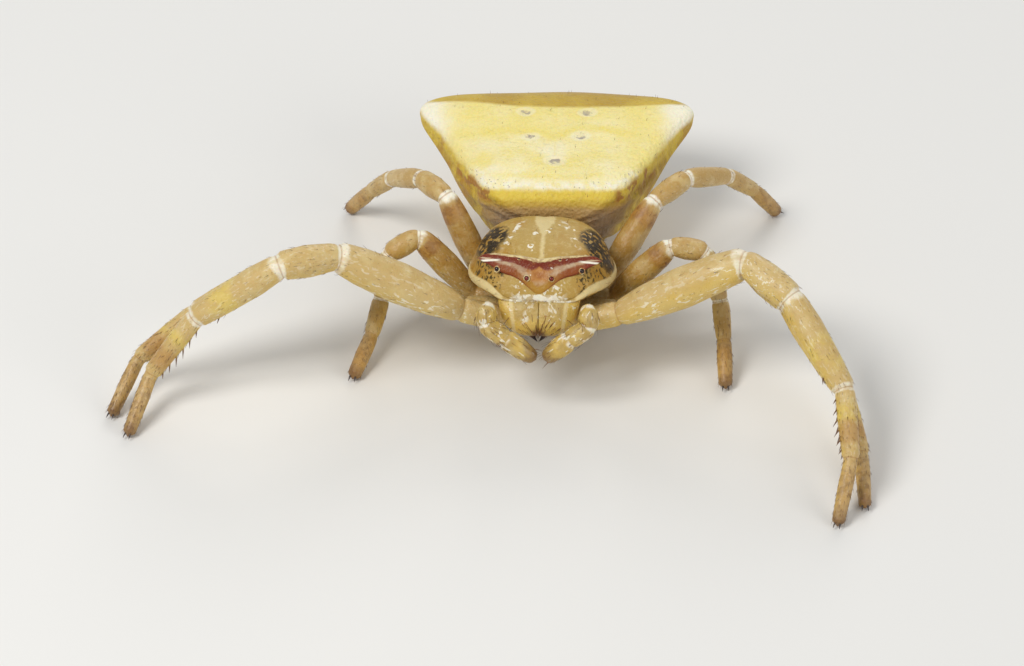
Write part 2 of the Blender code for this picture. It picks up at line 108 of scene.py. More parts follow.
# Eyes of one side: degrees upwards and outwards that each looks
EYES = {
    "eye_anterior_median": (25, 10),
    "eye_anterior_lateral": (25, 25),
    "eye_posterior_median": (60, 0),
    "eye_posterior_lateral": (140, -30),
}
# How far an eye is sunk in the skin as a share of its radius, and how far it may be raised to be so
EYE_SUNK = 0.25
EYE_RAISED = 0.09

# Abdomen rows from front to rear: y above, y below, plateau half width and height, middle height,
# flank half width and height, belly half width and height
ABDOMEN_ROWS = (
    (1.66, 2.32, 1.00, 0.95, 1.02, 0.95, 0.38, 0.45, -0.12),
    (1.92, 2.52, 1.72, 1.52, 1.60, 1.55, 0.42, 0.95, -0.48),
    (2.80, 3.10, 2.20, 1.62, 1.76, 2.15, 0.50, 1.30, -0.72),
    (3.85, 3.90, 2.76, 1.74, 1.88, 2.55, 0.66, 1.50, -0.78),
    (4.75, 4.70, 3.16, 1.94, 1.98, 2.95, 0.96, 1.50, -0.74),
    (5.45, 5.40, 4.16, 2.24, 2.06, 3.16, 1.24, 1.35, -0.60),
    (6.20, 6.05, 3.04, 2.08, 2.16, 2.60, 0.96, 1.15, -0.38),
    (6.86, 6.66, 2.50, 1.68, 1.90, 1.80, 0.64, 0.80, -0.08),
    (7.10, 7.06, 1.30, 0.94, 1.08, 1.00, 0.50, 0.45, 0.12),
)
ABDOMEN_INNER_SHARE = 0.55
# The column along the edge of the back, and the y between which the back is flat
EDGE_COLUMN = 42
BACK_FROM = 2.2
BACK_TO = 5.6

# Each leg: where its coxa leaves the sternum, its hip, then length and radius of femur, patella, tibia,
# metatarsus and tarsus
COXA_AT = {1: (0.74, -0.74, -0.72), 2: (0.80, -0.06, -0.80), 3: (0.78, 0.58, -0.80), 4: (0.62, 1.18, -0.82)}
HIP_AT = {1: (1.95, -1.00, -0.35), 2: (1.92, -0.02, -0.80), 3: (1.72, 0.66, -0.75), 4: (1.40, 1.28, -0.80)}
COXA_RADIUS = {1: 0.33, 2: 0.32, 3: 0.26, 4: 0.26}
LENGTHS = {
    1: (3.50, 1.50, 2.60, 1.90, 1.50),
    2: (3.50, 1.40, 2.55, 1.85, 1.45),
    3: (2.05, 0.85, 1.35, 1.00, 1.10),
    4: (2.50, 1.10, 1.80, 1.40, 1.10),
}
RADII = {
    1: (0.50, 0.41, 0.37, 0.25, 0.185),
    2: (0.44, 0.37, 0.34, 0.24, 0.18),
    3: (0.33, 0.29, 0.26, 0.22, 0.195),
    4: (0.33, 0.29, 0.26, 0.22, 0.195),
}
# Thickness along each segment, from coxa to tarsus: share of the length, share of the radius
SHAPES = (
    ((0.0, 0.80), (0.45, 1.0), (1.0, 0.92)),
    ((0.0, 0.62), (0.22, 0.88), (0.5, 1.02), (0.8, 0.93), (1.0, 0.74)),
    ((0.0, 0.80), (0.5, 0.98), (1.0, 0.86)),
    ((0.0, 0.84), (0.3, 1.0), (0.7, 0.92), (1.0, 0.78)),
    ((0.0, 0.98), (0.4, 1.0), (1.0, 0.86)),
    ((0.0, 0.92), (0.4, 1.0), (1.0, 0.84)),
)
# The pose: for each segment the degrees forwards of straight out to the side, and the degrees upwards.
# A tarsus has its own fall, because its tip stands on the floor.
POSE = {
    (1, "left"): ((-1, 29), (38, -14), (50, -36), (84, -19), 104),
    (1, "right"): ((6, 32), (26, 7), (5, -36), (21, -51), 68),
    (2, "left"): ((0, 27), (38, -21), (49, -33), (74, -19), 86),
    (2, "right"): ((5, 29), (24, 9), (11, -29), (20, -36), 63),
    (3, "left"): ((-10, 45), (1, -9), (46, -65), (81, -40), 86),
    (3, "right"): ((-14, 47), (22, -24), (34, -79), (77, -29), 69),
    (4, "left"): ((-45, 44), (-46, 6), (-51, -29), (-47, -46), -31),
    (4, "right"): ((-37, 58), (-52, -8), (-56, -34), (-50, -47), -35),
}
JOINT_CREASE = 0.13
FOOT_HEIGHT = 0.17
FOOT_REACH = 0.16

# A palp's hip, knee, elbow, wrist and tip, how far both tips swing to the left, and the thickness of the
# parts between the joints
PALP_JOINTS = np.array((
    (1.16, -1.46, -0.40),
    (1.24, -2.00, 0.24),
    (1.26, -2.18, -0.12),
    (0.78, -2.24, -0.46),
    (0.09, -2.24, -1.02),
))
PALP_SWING = 0.07
PALP_RADII = (0.22, 0.26, 0.25, 0.27)
PALP_SHAPES = (
    ((0.0, 0.80), (0.5, 1.0), (1.0, 0.92)),
    ((0.0, 0.84), (0.5, 1.0), (1.0, 0.86)),
    ((0.0, 0.94), (0.6, 1.0), (1.0, 0.94)),
    ((0.0, 0.94), (0.4, 0.98), (0.8, 0.74), (1.0, 0.50)),
)
# Rows of a jaw from the clypeus to the fang: z, outer edge, front and back. Section of a jaw: share of the
# way out to the edge, share of the way from the front to the back.
JAW_ROWS = (
    (0.26, 0.98, -1.44, -1.00),
    (0.12, 0.98, -1.60, -1.02),
    (-0.12, 0.92, -1.74, -1.08),
    (-0.34, 0.85, -1.82, -1.16),
    (-0.52, 0.68, -1.82, -1.28),
    (-0.64, 0.40, -1.78, -1.42),
)
JAW_SECTION = (
    (0.0, 0.12), (0.0, 0.02), (0.06, -0.01), (0.42, -0.04), (0.86, 0.02), (1.05, 0.26), (1.02, 0.80),
    (0.60, 1.0), (0.05, 1.0), (0.0, 0.60),
)
JAW_APART = 0.002
FANG_JOINT = (0.0, -0.60)
JAW_FRONT = -1.50
# Long bristles of the jaws: x and z of the root, then the way it points
LONG_BRISTLES = (
    (-0.55, 0.10, 0.25, -0.5, -0.8), (0.50, 0.10, -0.3, -0.5, -0.8), (-0.72, -0.14, -0.6, -0.6, -0.5),
    (0.72, -0.18, 0.8, -0.6, -0.3), (-0.66, -0.40, -0.3, -0.9, 0.1), (-0.16, -0.05, 0.1, -0.5, -0.8),
    (0.20, -0.08, -0.2, -0.5, -0.8),
)
FANG_ROOT = (0.17, -1.72, -0.60)
FANG_TIP = (0.02, -1.80, -0.75)

# Spines under the metatarsus and tibia of the long front legs: pairs, first and last share of the length
SPINE_ROWS = {3: (1, 0.78, 0.78), 4: (6, 0.12, 0.86)}
SPINE_SPLAY = 26.0
SPINE_LEAN = 36.0

# Smoothing of a limb: samples of the window that rounds its bends, share of that window for the thickness,
# the rise of its domed ends as a share of the radius, and the least of the dome's squared share
WINDOW = 9
EASE_SHARE = 0.4
END_DOME = 0.8
END_LEAST = 0.0025

# The underside. Each plate has its middle, its half sizes and how far it is drawn in towards the rear: the
# breastplate, the lip, one of the two mouth parts and the bump over the spinnerets. The waist has its line,
# its radius and the share of that along it. A pair of spinnerets has its x, z and radius, and all have one
# root and one tip along y and one share of the radius along them.
BREASTPLATE = ((0.0, 0.08, -0.74), (0.60, 0.98, 0.29), 0.35)
LIP = ((0.0, -0.98, -0.66), (0.20, 0.24, 0.14))
MOUTH_PART = ((0.33, -1.10, -0.62), (0.17, 0.33, 0.17), -0.3)
WAIST_LINE = np.array(((0.02, 1.30, -0.56), (0.05, 1.80, -0.50), (0.10, 2.34, -0.32)))
WAIST_RADIUS = 0.24
WAIST_SHAPES = ((0.0, 1.0), (1.0, 0.85)), ((0.0, 0.85), (1.0, 1.0))
SPINNERETS = ((0.13, 0.02, 0.13), (0.11, 0.22, 0.10))
SPINNERET_ROOT = 6.95
SPINNERET_TIP = 7.40
SPINNERET_SHAPE = (((0.0, 1.0), (0.55, 1.0), (0.62, 0.86), (1.0, 0.62)),)
REAR_BUMP = ((-0.01, 7.14, 0.42), (0.12, 0.16, 0.10))

# The lamps: place, size and power in metres and watts, and tint. All point at one place over the floor.
LAMPS = {
    "key": ((-0.05, -0.04, 0.09), 0.05, 0.072, (1.0, 0.98, 0.94)),
    "fill": ((0.09, -0.06, 0.05), 0.07, 0.034, (1.0, 0.96, 0.90)),
    "rear": ((0.02, 0.09, 0.06), 0.06, 0.030, (1.0, 0.97, 0.92)),
}
LAMP_AIM = (0.0, 0.0, 0.002)
ROOM_TINT = (0.90, 0.95, 1.0, 1.0)
ROOM_LIGHT = 0.42
FLOOR_REACH = 0.6

# The camera: degrees up, round and rolled, distance, the point it looks at and its lens on a 36 mm sensor
CAMERA_UP = 40.0
CAMERA_ROUND = 3.8
CAMERA_ROLL = -1.0
CAMERA_AWAY = 0.160
CAMERA_AIM = np.array((0.5836, -2.0991, 1.9909)) * MM
CAMERA_LENS = 230.6


def colour(name, default, description):
    """A colour property with its default."""
    return bpy.props.FloatVectorProperty(
        name=name, description=description, default=default, size=3, min=0.0, max=1.0, subtype="COLOR"
    )


def length(name, default, description):
    """A length property in metres with its default."""
    return bpy.props.FloatProperty(
        name=name, description=description, default=default, min=0.0, subtype="DISTANCE", unit="LENGTH",
        precision=6,
    )


def node_radius(node):
    """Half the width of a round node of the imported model, in metres."""
    low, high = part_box(node)
    return (high.x - low.x) / 2


class SpiderSizes(bpy.types.PropertyGroup):
    """Sizes of the spider's fine parts, in metres."""

    front_eye: length("Front eye", node_radius("eye_anterior_median_left"), "Radius of the front eyes")
    rear_eye: length("Rear eye", node_radius("eye_posterior_median_left"), "Radius of the rear eyes")
    spine: length("Spine", 0.32e-3, "Length of the spines under the front legs")
    spine_base: length("Spine base", 0.028e-3, "Radius of a spine at its root")
    claw: length("Claw", 0.17e-3, "Length of a claw")
    bristle: length("Bristle", 0.20e-3, "Mean length of the bristles on the legs")
    crease: length("Crease", 0.07e-3, "Half width of the crease at a joint of a leg")
    relief: length("Skin relief", 0.03e-3, "Depth of the folds on the abdomen's flanks")


class SpiderColours(bpy.types.PropertyGroup):
    """Colours of the spider's skin and markings."""

    tan: colour("Tan", (0.470, 0.310, 0.080), "Ground colour of the carapace")
    amber: colour("Amber", (0.410, 0.210, 0.022), "Sides of the carapace")
    cream: colour("Cream", (0.730, 0.590, 0.290), "Stripe, flecks and margin of the carapace")
    white: colour("White", (0.900, 0.860, 0.720), "Brightest flecks and joint marks")
    net: colour("Net", (0.014, 0.012, 0.003), "Dark net beside the carapace's dome")
    maroon: colour("Maroon", (0.185, 0.022, 0.006), "Upper band of the eye ridge")
    rust: colour("Rust", (0.260, 0.062, 0.008), "Lower margin of the eye ridge")
    orange: colour("Orange", (0.470, 0.205, 0.045), "Middle of the eye ridge")
    face: colour("Face", (0.520, 0.380, 0.240), "Pale face between the eyes")
    plateau: colour("Plateau", (0.900, 0.790, 0.380), "Ground colour of the abdomen's top")
    yellow: colour("Yellow", (0.730, 0.540, 0.060), "Front band and flanks of the abdomen")
    lemon: colour("Lemon", (0.830, 0.680, 0.150), "Clouds and lines of the abdomen's back")
    olive: colour("Olive", (0.480, 0.300, 0.025), "Flanks and rear of the abdomen")
    # Slope is painted shade on the abdomen's front slope, and also tints random blots, the rear strip and
    # the lowest parts; grey also serves as painted shadow low on that slope
    slope: colour("Slope", (0.468, 0.301, 0.110), "Front slope of the abdomen")
    grey: colour("Grey", (0.270, 0.220, 0.220), "Dimples of the abdomen")
    beige: colour("Beige", (0.590, 0.410, 0.150), "Upper side of the long legs")
    # Honey on the legs' undersides is partly their own yellow and partly a painted yellow glow of light from
    # below
    honey: colour("Honey", (0.680, 0.460, 0.085), "Under side of the long legs")
    russet: colour("Russet", (0.400, 0.175, 0.030), "Hind legs and rings of the front legs")
    brown: colour("Brown", (0.120, 0.042, 0.012), "Leg tips, spines and claws")
    eye: colour("Eye", (0.018, 0.004, 0.003), "Lens of an eye")
    ruby: colour("Ruby", (0.180, 0.012, 0.006), "Glow of the front middle eyes")
    floor: colour("Floor", (0.780, 0.770, 0.750), "Plain floor")


def unit(vectors):
    """Each vector divided by its length."""
    return vectors / np.linalg.norm(vectors, axis=-1, keepdims=True)


def bell(x, middle, width):
    """A smooth hump of height 1 at the middle, and almost nothing two widths away."""
    return np.exp(-(((x - middle) / width) ** 2))


def smooth(x, low, high):
    """A step from 0 at low to 1 at high, level at both ends."""
    t = np.clip((x - low) / (high - low), 0.0, 1.0)
    return t * t * (3.0 - 2.0 * t)


def turn(axis, degrees):
    """Rotation matrix about the X, Y or Z axis."""
    a = np.radians(degrees)
    i, j = {"X": (1, 2), "Y": (2, 0), "Z": (0, 1)}[axis]
    matrix = np.eye(3)
    matrix[i, i] = matrix[j, j] = np.cos(a)
    matrix[i, j] = -np.sin(a)
    matrix[j, i] = np.sin(a)
    return matrix


BODY_TURN = turn("X", -NOSE_UP)
ABDOMEN_TURN = turn("Z", ABDOMEN_YAW)


def to_world(points):
    """Places points of the body frame in the world."""
    return points @ BODY_TURN.T + BODY_AT


def abdomen_to_world(points):
    """Places points of the abdomen in the world: turned and moved aside in the body frame, then placed."""
    shifted = points @ ABDOMEN_TURN.T + np.array((ABDOMEN_ASIDE, 0.0, 0.0))
    return to_world(shifted)


def spline_weights(count, samples, closed):
    """Matrix of a uniform cubic B-spline: each sample is a mix of its four nearest control points, with
    weights that are cubics of its place between two of them. An open one rests on its end points."""
    t = np.linspace(0.0, count if closed else count - 1, samples, endpoint=not closed)
    base = np.minimum(np.floor(t).astype(int), count if closed else count - 2)
    f = t - base
    weights = np.stack((
        (1 - f) ** 3, 3 * f ** 3 - 6 * f ** 2 + 4, -3 * f ** 3 + 3 * f ** 2 + 3 * f + 1, f ** 3
    ), axis=1) / 6
    near = base[:, None] + np.arange(-1, 3)
    near = near % count if closed else np.clip(near, 0, count - 1)
    matrix = np.zeros((samples, count))
    np.add.at(matrix, (np.arange(samples)[:, None], near), weights)
    return matrix, t


def spline_surface(cage, rows, columns):
    """The surface whose point at (v, u) is the cubic B-spline along the rows of the cubic B-splines round
    each ring. Both ends shrink to the middle of their ring, so the form is closed."""
    first, last = cage[0].mean(0), cage[-1].mean(0)
    ends = [np.broadcast_to(point, cage[0].shape) for point in (first, last)]
    cage = np.concatenate(([ends[0]] * 2, cage, [ends[1]] * 2))
    along, v = spline_weights(len(cage), rows, False)
    around, u = spline_weights(cage.shape[1], columns, True)
    grid = np.einsum("rc,cka,sk->rsa", along, cage, around)
    return grid, np.broadcast_to(v[:, None] - 2.0, (rows, columns)), np.broadcast_to(u, (rows, columns))


def mirror_rows(half):
    """A whole ring from its half: the points at x = 0 first and last, and the others on both sides."""
    half = np.asarray(half, float)
    other = half[:, -2:0:-1] * (-1.0, 1.0, 1.0)
    return np.concatenate((half, other), axis=1)


def grid_normals(grid):
    """Unit normals of a grid that closes round its columns, from the cross product of its two slopes."""
    down = np.gradient(grid, axis=0)
    across = np.roll(grid, -1, axis=1) - np.roll(grid, 1, axis=1)
    normals = np.cross(across, down)
    return normals / np.maximum(np.linalg.norm(normals, axis=-1, keepdims=True), 1e-12)


class Shape:
    """Points, faces of three and four corners, and a place on the form for each point's markings."""

    def __init__(self, points, fours, threes, place):
        self.points = points
        self.fours = fours
        self.threes = threes
        self.place = place


def closed_shape(grid, place):
    """A grid of rings made a closed form, with a pole at the middle of its first and last ring."""
    rows, columns = grid.shape[:2]
    index = np.arange(rows * columns).reshape(rows, columns)
    following = np.roll(index, -1, axis=1)
    fours = np.stack((index[:-1], following[:-1], following[1:], index[1:]), axis=-1).reshape(-1, 4)
    start, end = rows * columns, rows * columns + 1
    first = np.stack((np.full(columns, start), following[0], index[0]), axis=-1)
    last = np.stack((np.full(columns, end), index[-1], following[-1]), axis=-1)
    points = np.concatenate((grid.reshape(-1, 3), grid[0].mean(0)[None], grid[-1].mean(0)[None]))
    marks = np.concatenate((place.reshape(-1, 3), place[0].mean(0)[None], place[-1].mean(0)[None]))
    shape = Shape(points, fours, np.concatenate((first, last)), marks)
    return outwards(shape)


def outwards(shape):
    """Turns every face round if the form's signed volume shows that they point inwards."""
    p = shape.points - shape.points.mean(0)
    a, b, c, d = (p[shape.fours[:, k]] for k in range(4))
    volume = np.einsum("ij,ij->", a, np.cross(b, c)) + np.einsum("ij,ij->", a, np.cross(c, d))
    if volume < 0.0:
        shape.fours = shape.fours[:, ::-1]
        shape.threes = shape.threes[:, ::-1]
    return shape


def joined(shapes):
    """Several shapes as one, with the corners of each counted on from the last."""
    starts = np.cumsum([0] + [len(s.points) for s in shapes[:-1]])
    return Shape(
        np.concatenate([s.points for s in shapes]),
        np.concatenate([s.fours + n for s, n in zip(shapes, starts)]),
        np.concatenate([s.threes + n for s, n in zip(shapes, starts)]),
        np.concatenate([s.place for s in shapes]),
    )


def make_piece(name, shape, material, replaced=(), patches=None):
    """Writes a shape to a mesh object that rides on the body, in metres."""
    mesh = bpy.data.meshes.new(name)
    corners = np.concatenate((shape.fours.ravel(), shape.threes.ravel()))
    sizes = np.concatenate((np.full(len(shape.fours), 4), np.full(len(shape.threes), 3)))
    mesh.vertices.add(len(shape.points))
    points = np.maximum(shape.points, (-np.inf, -np.inf, 0.0)) * MM
    mesh.vertices.foreach_set("co", points.astype(np.float32).ravel())
    mesh.loops.add(len(corners))
    mesh.loops.foreach_set("vertex_index", corners.astype(np.int32))
    mesh.polygons.add(len(sizes))
    mesh.polygons.foreach_set("loop_start", (np.cumsum(sizes) - sizes).astype(np.int32))
    mesh.update(calc_edges=True)
    place = mesh.attributes.new("place", "FLOAT_VECTOR", "POINT")
    place.data.foreach_set("vector", shape.place.astype(np.float32).ravel())
    if patches is not None:
        layer = mesh.uv_layers.new(name="OFBake")
        layer.data.foreach_set("uv", patches[corners].astype(np.float32).ravel())
    mesh.shade_smooth()
    mesh.materials.append(material)
    piece = bpy.data.objects.new(name, mesh)
    bpy.context.scene.collection.objects.link(piece)
    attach(piece, "root")
    if replaced:
        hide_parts(*replaced)
    return piece


def thorns(roots, aims, lengths, radii, bends, sides=5, steps=4, tip=0.06):
    """Many tapered bristles at once. The middle line of each is root + aim * t + bend * t * t for t from 0
    to 1, and its radius falls evenly to the tip's share."""
    t = np.linspace(0.0, 1.0, steps)
    reach = aims * lengths[:, None]
    lines = roots[:, None] + reach[:, None] * t[:, None] + bends[:, None] * (t * t)[:, None]
    heading = unit(np.gradient(lines, axis=1))
    helper = np.where(np.abs(heading[..., 2:]) > 0.8, (1.0, 0.0, 0.0), (0.0, 0.0, 1.0))
    side = unit(np.cross(heading, helper))
    up = np.cross(side, heading)
    angle = np.arange(sides) * 2 * np.pi / sides
    ring = side[:, :, None] * np.cos(angle)[:, None] + up[:, :, None] * np.sin(angle)[:, None]
    thickness = radii[:, None] * (1.0 - (1.0 - tip) * t)
    grid = lines[:, :, None] + ring * thickness[:, :, None, None]
    count = len(roots)
    one = np.arange(steps * sides).reshape(steps, sides)
    following = np.roll(one, -1, axis=1)
    fours = np.stack((one[:-1], following[:-1], following[1:], one[1:]), axis=-1).reshape(-1, 4)
    fan = np.arange(1, sides - 1)
    base = np.stack((np.zeros(sides - 2, int), fan + 1, fan), axis=-1)
    top = np.stack((np.zeros(sides - 2, int), fan, fan + 1), axis=-1) + (steps - 1) * sides
    offset = (np.arange(count) * steps * sides)[:, None, None]
    threes = (np.concatenate((base, top))[None] + offset).reshape(-1, 3)
    fours = (fours[None] + offset).reshape(-1, 4)
    share = np.broadcast_to(t[None, :, None], (count, steps, sides))
    place = np.stack((share, np.zeros_like(share), np.zeros_like(share)), axis=-1).reshape(-1, 3)
    return Shape(grid.reshape(-1, 3), fours, threes, place)


def direction(sign, forward, up):
    """Unit vector some degrees forwards of straight out to the side, and some degrees upwards."""
    a, e = np.radians(forward), np.radians(up)
    return np.array((sign * np.cos(a) * np.cos(e), -np.sin(a) * np.cos(e), np.sin(e)))


def leg_joints(number, side):
    """A leg's coxa root, hip, knees and tip in the world, each the last one plus a length in a direction."""
    sign = SIDES[side]
    flip = np.array((sign, 1.0, 1.0))
    root, hip = (to_world(np.array(at[number]) * flip) for at in (COXA_AT, HIP_AT))
    *angles, last_forward = POSE[(number, side)]
    steps = [direction(sign, *angle) * size for angle, size in zip(angles, LENGTHS[number])]
    points = hip + np.concatenate((np.zeros((1, 3)), np.cumsum(steps, axis=0)))
    last = LENGTHS[number][-1]
    fall = np.degrees(np.arcsin((FOOT_HEIGHT - points[-1, 2]) / last))
    tip = points[-1] + direction(sign, last_forward, fall) * (last + FOOT_REACH)
    return np.concatenate((root[None], points, tip[None]))


class Limb:
    """A tube along joints: stations along the line, its frame, thickness and place in its segments."""

    def __init__(self, joints, radii, shapes, spacing=0.045, corner=0.22, crease=0.07, up=(0.0, 0.0, 1.0)):
        joints = np.asarray(joints, float)
        steps = np.linalg.norm(np.diff(joints, axis=0), axis=1)
        self.starts = np.concatenate(([0.0], np.cumsum(steps)))
        total = self.starts[-1]
        self.s = np.linspace(0.0, total, int(total / spacing) + 1)
        window = np.linspace(-corner, corner, WINDOW)
        reach = np.clip(self.s[:, None] + window, 0.0, total)
        self.line = np.stack([np.interp(reach, self.starts, joints[:, k]).mean(1) for k in range(3)], axis=1)
        self.line[0], self.line[-1] = joints[0], joints[-1]
        self.heading = unit(np.gradient(self.line, axis=0))
        normal = np.linalg.svd(joints - joints.mean(0))[2][-1]
        self.side = unit(normal - self.heading * (self.heading @ normal)[:, None])
        self.top = np.cross(self.heading, self.side)
        if (self.top @ np.array(up)).mean() < 0.0:
            self.side, self.top = -self.side, -self.top
        self.along = np.interp(self.s, self.starts, np.arange(len(joints)))
        self.radius = self.thickness(radii, shapes, crease, window * EASE_SHARE)

    def thickness(self, radii, shapes, crease, window):
        """Radius at each station: the segment's own shape, eased across each joint and drawn in at its
        crease, and falling as a quarter ellipse at both ends."""
        reach = np.clip(self.s[:, None] + window, 0.0, self.starts[-1] - 1e-6)
        k = np.clip(np.searchsorted(self.starts, reach, side="right") - 1, 0, len(radii) - 1)
        share = (reach - self.starts[k]) / (self.starts[k + 1] - self.starts[k])
        table = [radius * np.interp(share, *np.array(shape).T) for radius, shape in zip(radii, shapes)]
        radius = np.choose(k, table).mean(1)
        for joint in self.starts[1:-1]:
            radius = radius * (1.0 - JOINT_CREASE * bell(self.s, joint, crease))
        for distance in (self.s, self.starts[-1] - self.s):
            dome = radius * END_DOME
            short = np.clip(1.0 - distance / dome, 0.0, 1.0)
            radius = radius * np.sqrt(np.maximum(1.0 - short ** 2, END_LEAST))
        return radius

    def surface(self, sides):
        """Rings of points: the line plus the radius times cos and sin of the angle on the two side axes.
        The angle starts at the limb's back. Markings get the segment's number plus the share of it, the
        cosine from the back and the cosine from the side."""
        angle = np.arange(sides) * 2 * np.pi / sides
        around = np.broadcast_to(angle, (len(self.s), sides))
        radius = np.broadcast_to(self.radius[:, None], around.shape)
        grid = (
            self.line[:, None]
            + self.top[:, None] * (radius * np.cos(around))[..., None]
            + self.side[:, None] * (radius * np.sin(around))[..., None]
        )
        along = np.broadcast_to(self.along[:, None], around.shape)
        return grid, np.stack((along, np.cos(around), np.sin(around)), axis=-1)

    def at(self, along, angle):
        """Points on the surface, their outward directions and headings, at places along and round."""
        line, top, side, heading = (
            np.stack([np.interp(along, self.along, v[:, k]) for k in range(3)], axis=1)
            for v in (self.line, self.top, self.side, self.heading)
        )
        radius = np.interp(along, self.along, self.radius)[:, None]
        outward = unit(top * np.cos(angle)[:, None] + side * np.sin(angle)[:, None])
        return line + outward * radius, outward, unit(heading)


def leg_limb(number, side, crease):
    """A leg's limb, from its coxa to its tip."""
    radii = (COXA_RADIUS[number], *RADII[number])
    return Limb(leg_joints(number, side), radii, SHAPES, crease=crease)


class Wire:
    """A socket of a material, with the arithmetic that the markings are written in."""

    def __init__(self, tree, socket=None):
        self.tree = tree
        self.socket = socket

    def node(self, kind, settings=None, values=None, output=0):
        """Adds a node: its settings first, then the values or links of its sockets."""
        made = self.tree.nodes.new(kind)
        for name, value in (settings or {}).items():
            setattr(made, name, value)
        for key, value in (values or {}).items():
            if isinstance(value, Wire):
                self.tree.links.new(value.socket, made.inputs[key])
            else:
                made.inputs[key].default_value = value
        return Wire(self.tree, made.outputs[output])

    def math(self, operation, *values):
        return self.node("ShaderNodeMath", {"operation": operation}, dict(enumerate(values)))

    def __add__(self, other):
        return self.math("ADD", self, other)

    def __radd__(self, other):
        return self.math("ADD", other, self)

    def __sub__(self, other):
        return self.math("SUBTRACT", self, other)

    def __rsub__(self, other):
        return self.math("SUBTRACT", other, self)

    def __mul__(self, other):
        return self.math("MULTIPLY", self, other)

    def __rmul__(self, other):
        return self.math("MULTIPLY", other, self)

    def __truediv__(self, other):
        return self.math("DIVIDE", self, other)

    def size(self):
        return self.math("ABSOLUTE", self)

    def larger(self, other):
        return self.math("MAXIMUM", self, other)

    def step(self, low, high):
        """A smooth step from 0 where the value is low to 1 where it is high."""
        settings = {"interpolation_type": "SMOOTHSTEP"}
        return self.node("ShaderNodeMapRange", settings, {"Value": self, "From Min": low, "From Max": high})

    def near(self, middle, width):
        """1 where the value is close to the middle, falling to 0 at the width."""
        return 1.0 - (self - middle).size().step(width * 0.45, width)

    def over(self, base, paint):
        """Paint laid over a base colour where this mask is 1."""
        values = {0: self, 6: base, 7: paint}
        return self.node("ShaderNodeMix", {"data_type": "RGBA"}, values, 2)

    def axes(self):
        return tuple(self.node("ShaderNodeSeparateXYZ", None, {0: self}, k) for k in range(3))

    def scaled(self, factors):
        return self.node("ShaderNodeVectorMath", {"operation": "MULTIPLY"}, {0: self, 1: factors})

    def shifted(self, other):
        return self.node("ShaderNodeVectorMath", {"operation": "ADD"}, {0: self, 1: other})

    def noise(self, scale, detail=3.0, output="Fac"):
        values = {"Vector": self, "Scale": scale, "Detail": detail}
        return self.node("ShaderNodeTexNoise", None, values, output)

    def warped(self, scale, amount):
        """The position moved about by a noise, so that edges run unevenly."""
        centred = self.noise(scale, 2.0, "Color").shifted((-0.5, -0.5, -0.5))
        return self.shifted(centred.scaled((amount, amount, amount)))

    def cells(self, scale, feature="F1", output="Distance"):
        values = {"Vector": self, "Scale": scale}
        return self.node("ShaderNodeTexVoronoi", {"feature": feature}, values, output)

    def flecks(self, scale, size, share):
        """Scattered spots: a share of the cells has one, of about that size in its cell."""
        chosen = self.cells(scale, output="Color").axes()[0].step(share + 0.02, share - 0.02)
        return chosen * self.cells(scale).step(size, size * 0.6)


def paint(value):
    """A colour property as a socket's four numbers."""
    return (*value, 1.0)


class Finish:
    """A material with its shader, its positions in millimetres and the markings' place attribute."""

    def __init__(self, name, roughness=0.45, coat=0.0, flesh=0.0, shine=0.5):
        self.material = bpy.data.materials.new(name)
        self.material.use_nodes = True
        tree = self.material.node_tree
        self.shader = tree.nodes["Principled BSDF"]
        self.root = Wire(tree)
        self.shader.inputs["Roughness"].default_value = roughness
        self.shader.inputs["Specular IOR Level"].default_value = shine
        self.shader.inputs["Coat Weight"].default_value = coat
        self.shader.inputs["Coat Roughness"].default_value = 0.2
        self.shader.inputs["Subsurface Weight"].default_value = flesh
        self.shader.inputs["Subsurface Radius"].default_value = (1.0, 0.6, 0.25)
        self.shader.inputs["Subsurface Scale"].default_value = 0.25 * MM
        self.spot = self.root.node("ShaderNodeTexCoord", None, None, "Object").scaled((PER_METRE,) * 3)
        self.place = self.root.node("ShaderNodeAttribute", {"attribute_name": "place"}, None, "Vector")

    def done(self, base, height=None, depth=0.01, roughness=None):
        """Connects the colour, a relief that is so many millimetres deep, and a varying roughness."""
        tree = self.material.node_tree
        if isinstance(base, Wire):
            tree.links.new(base.socket, self.shader.inputs["Base Color"])
        else:
            self.shader.inputs["Base Color"].default_value = base
        if roughness is not None:
            tree.links.new(roughness.socket, self.shader.inputs["Roughness"])
        if height is not None:
            values = {"Height": height, "Distance": depth * MM, "Strength": 1.0}
            relief = self.root.node("ShaderNodeBump", None, values, "Normal")
            tree.links.new(relief.socket, self.shader.inputs["Normal"])
        return self.material


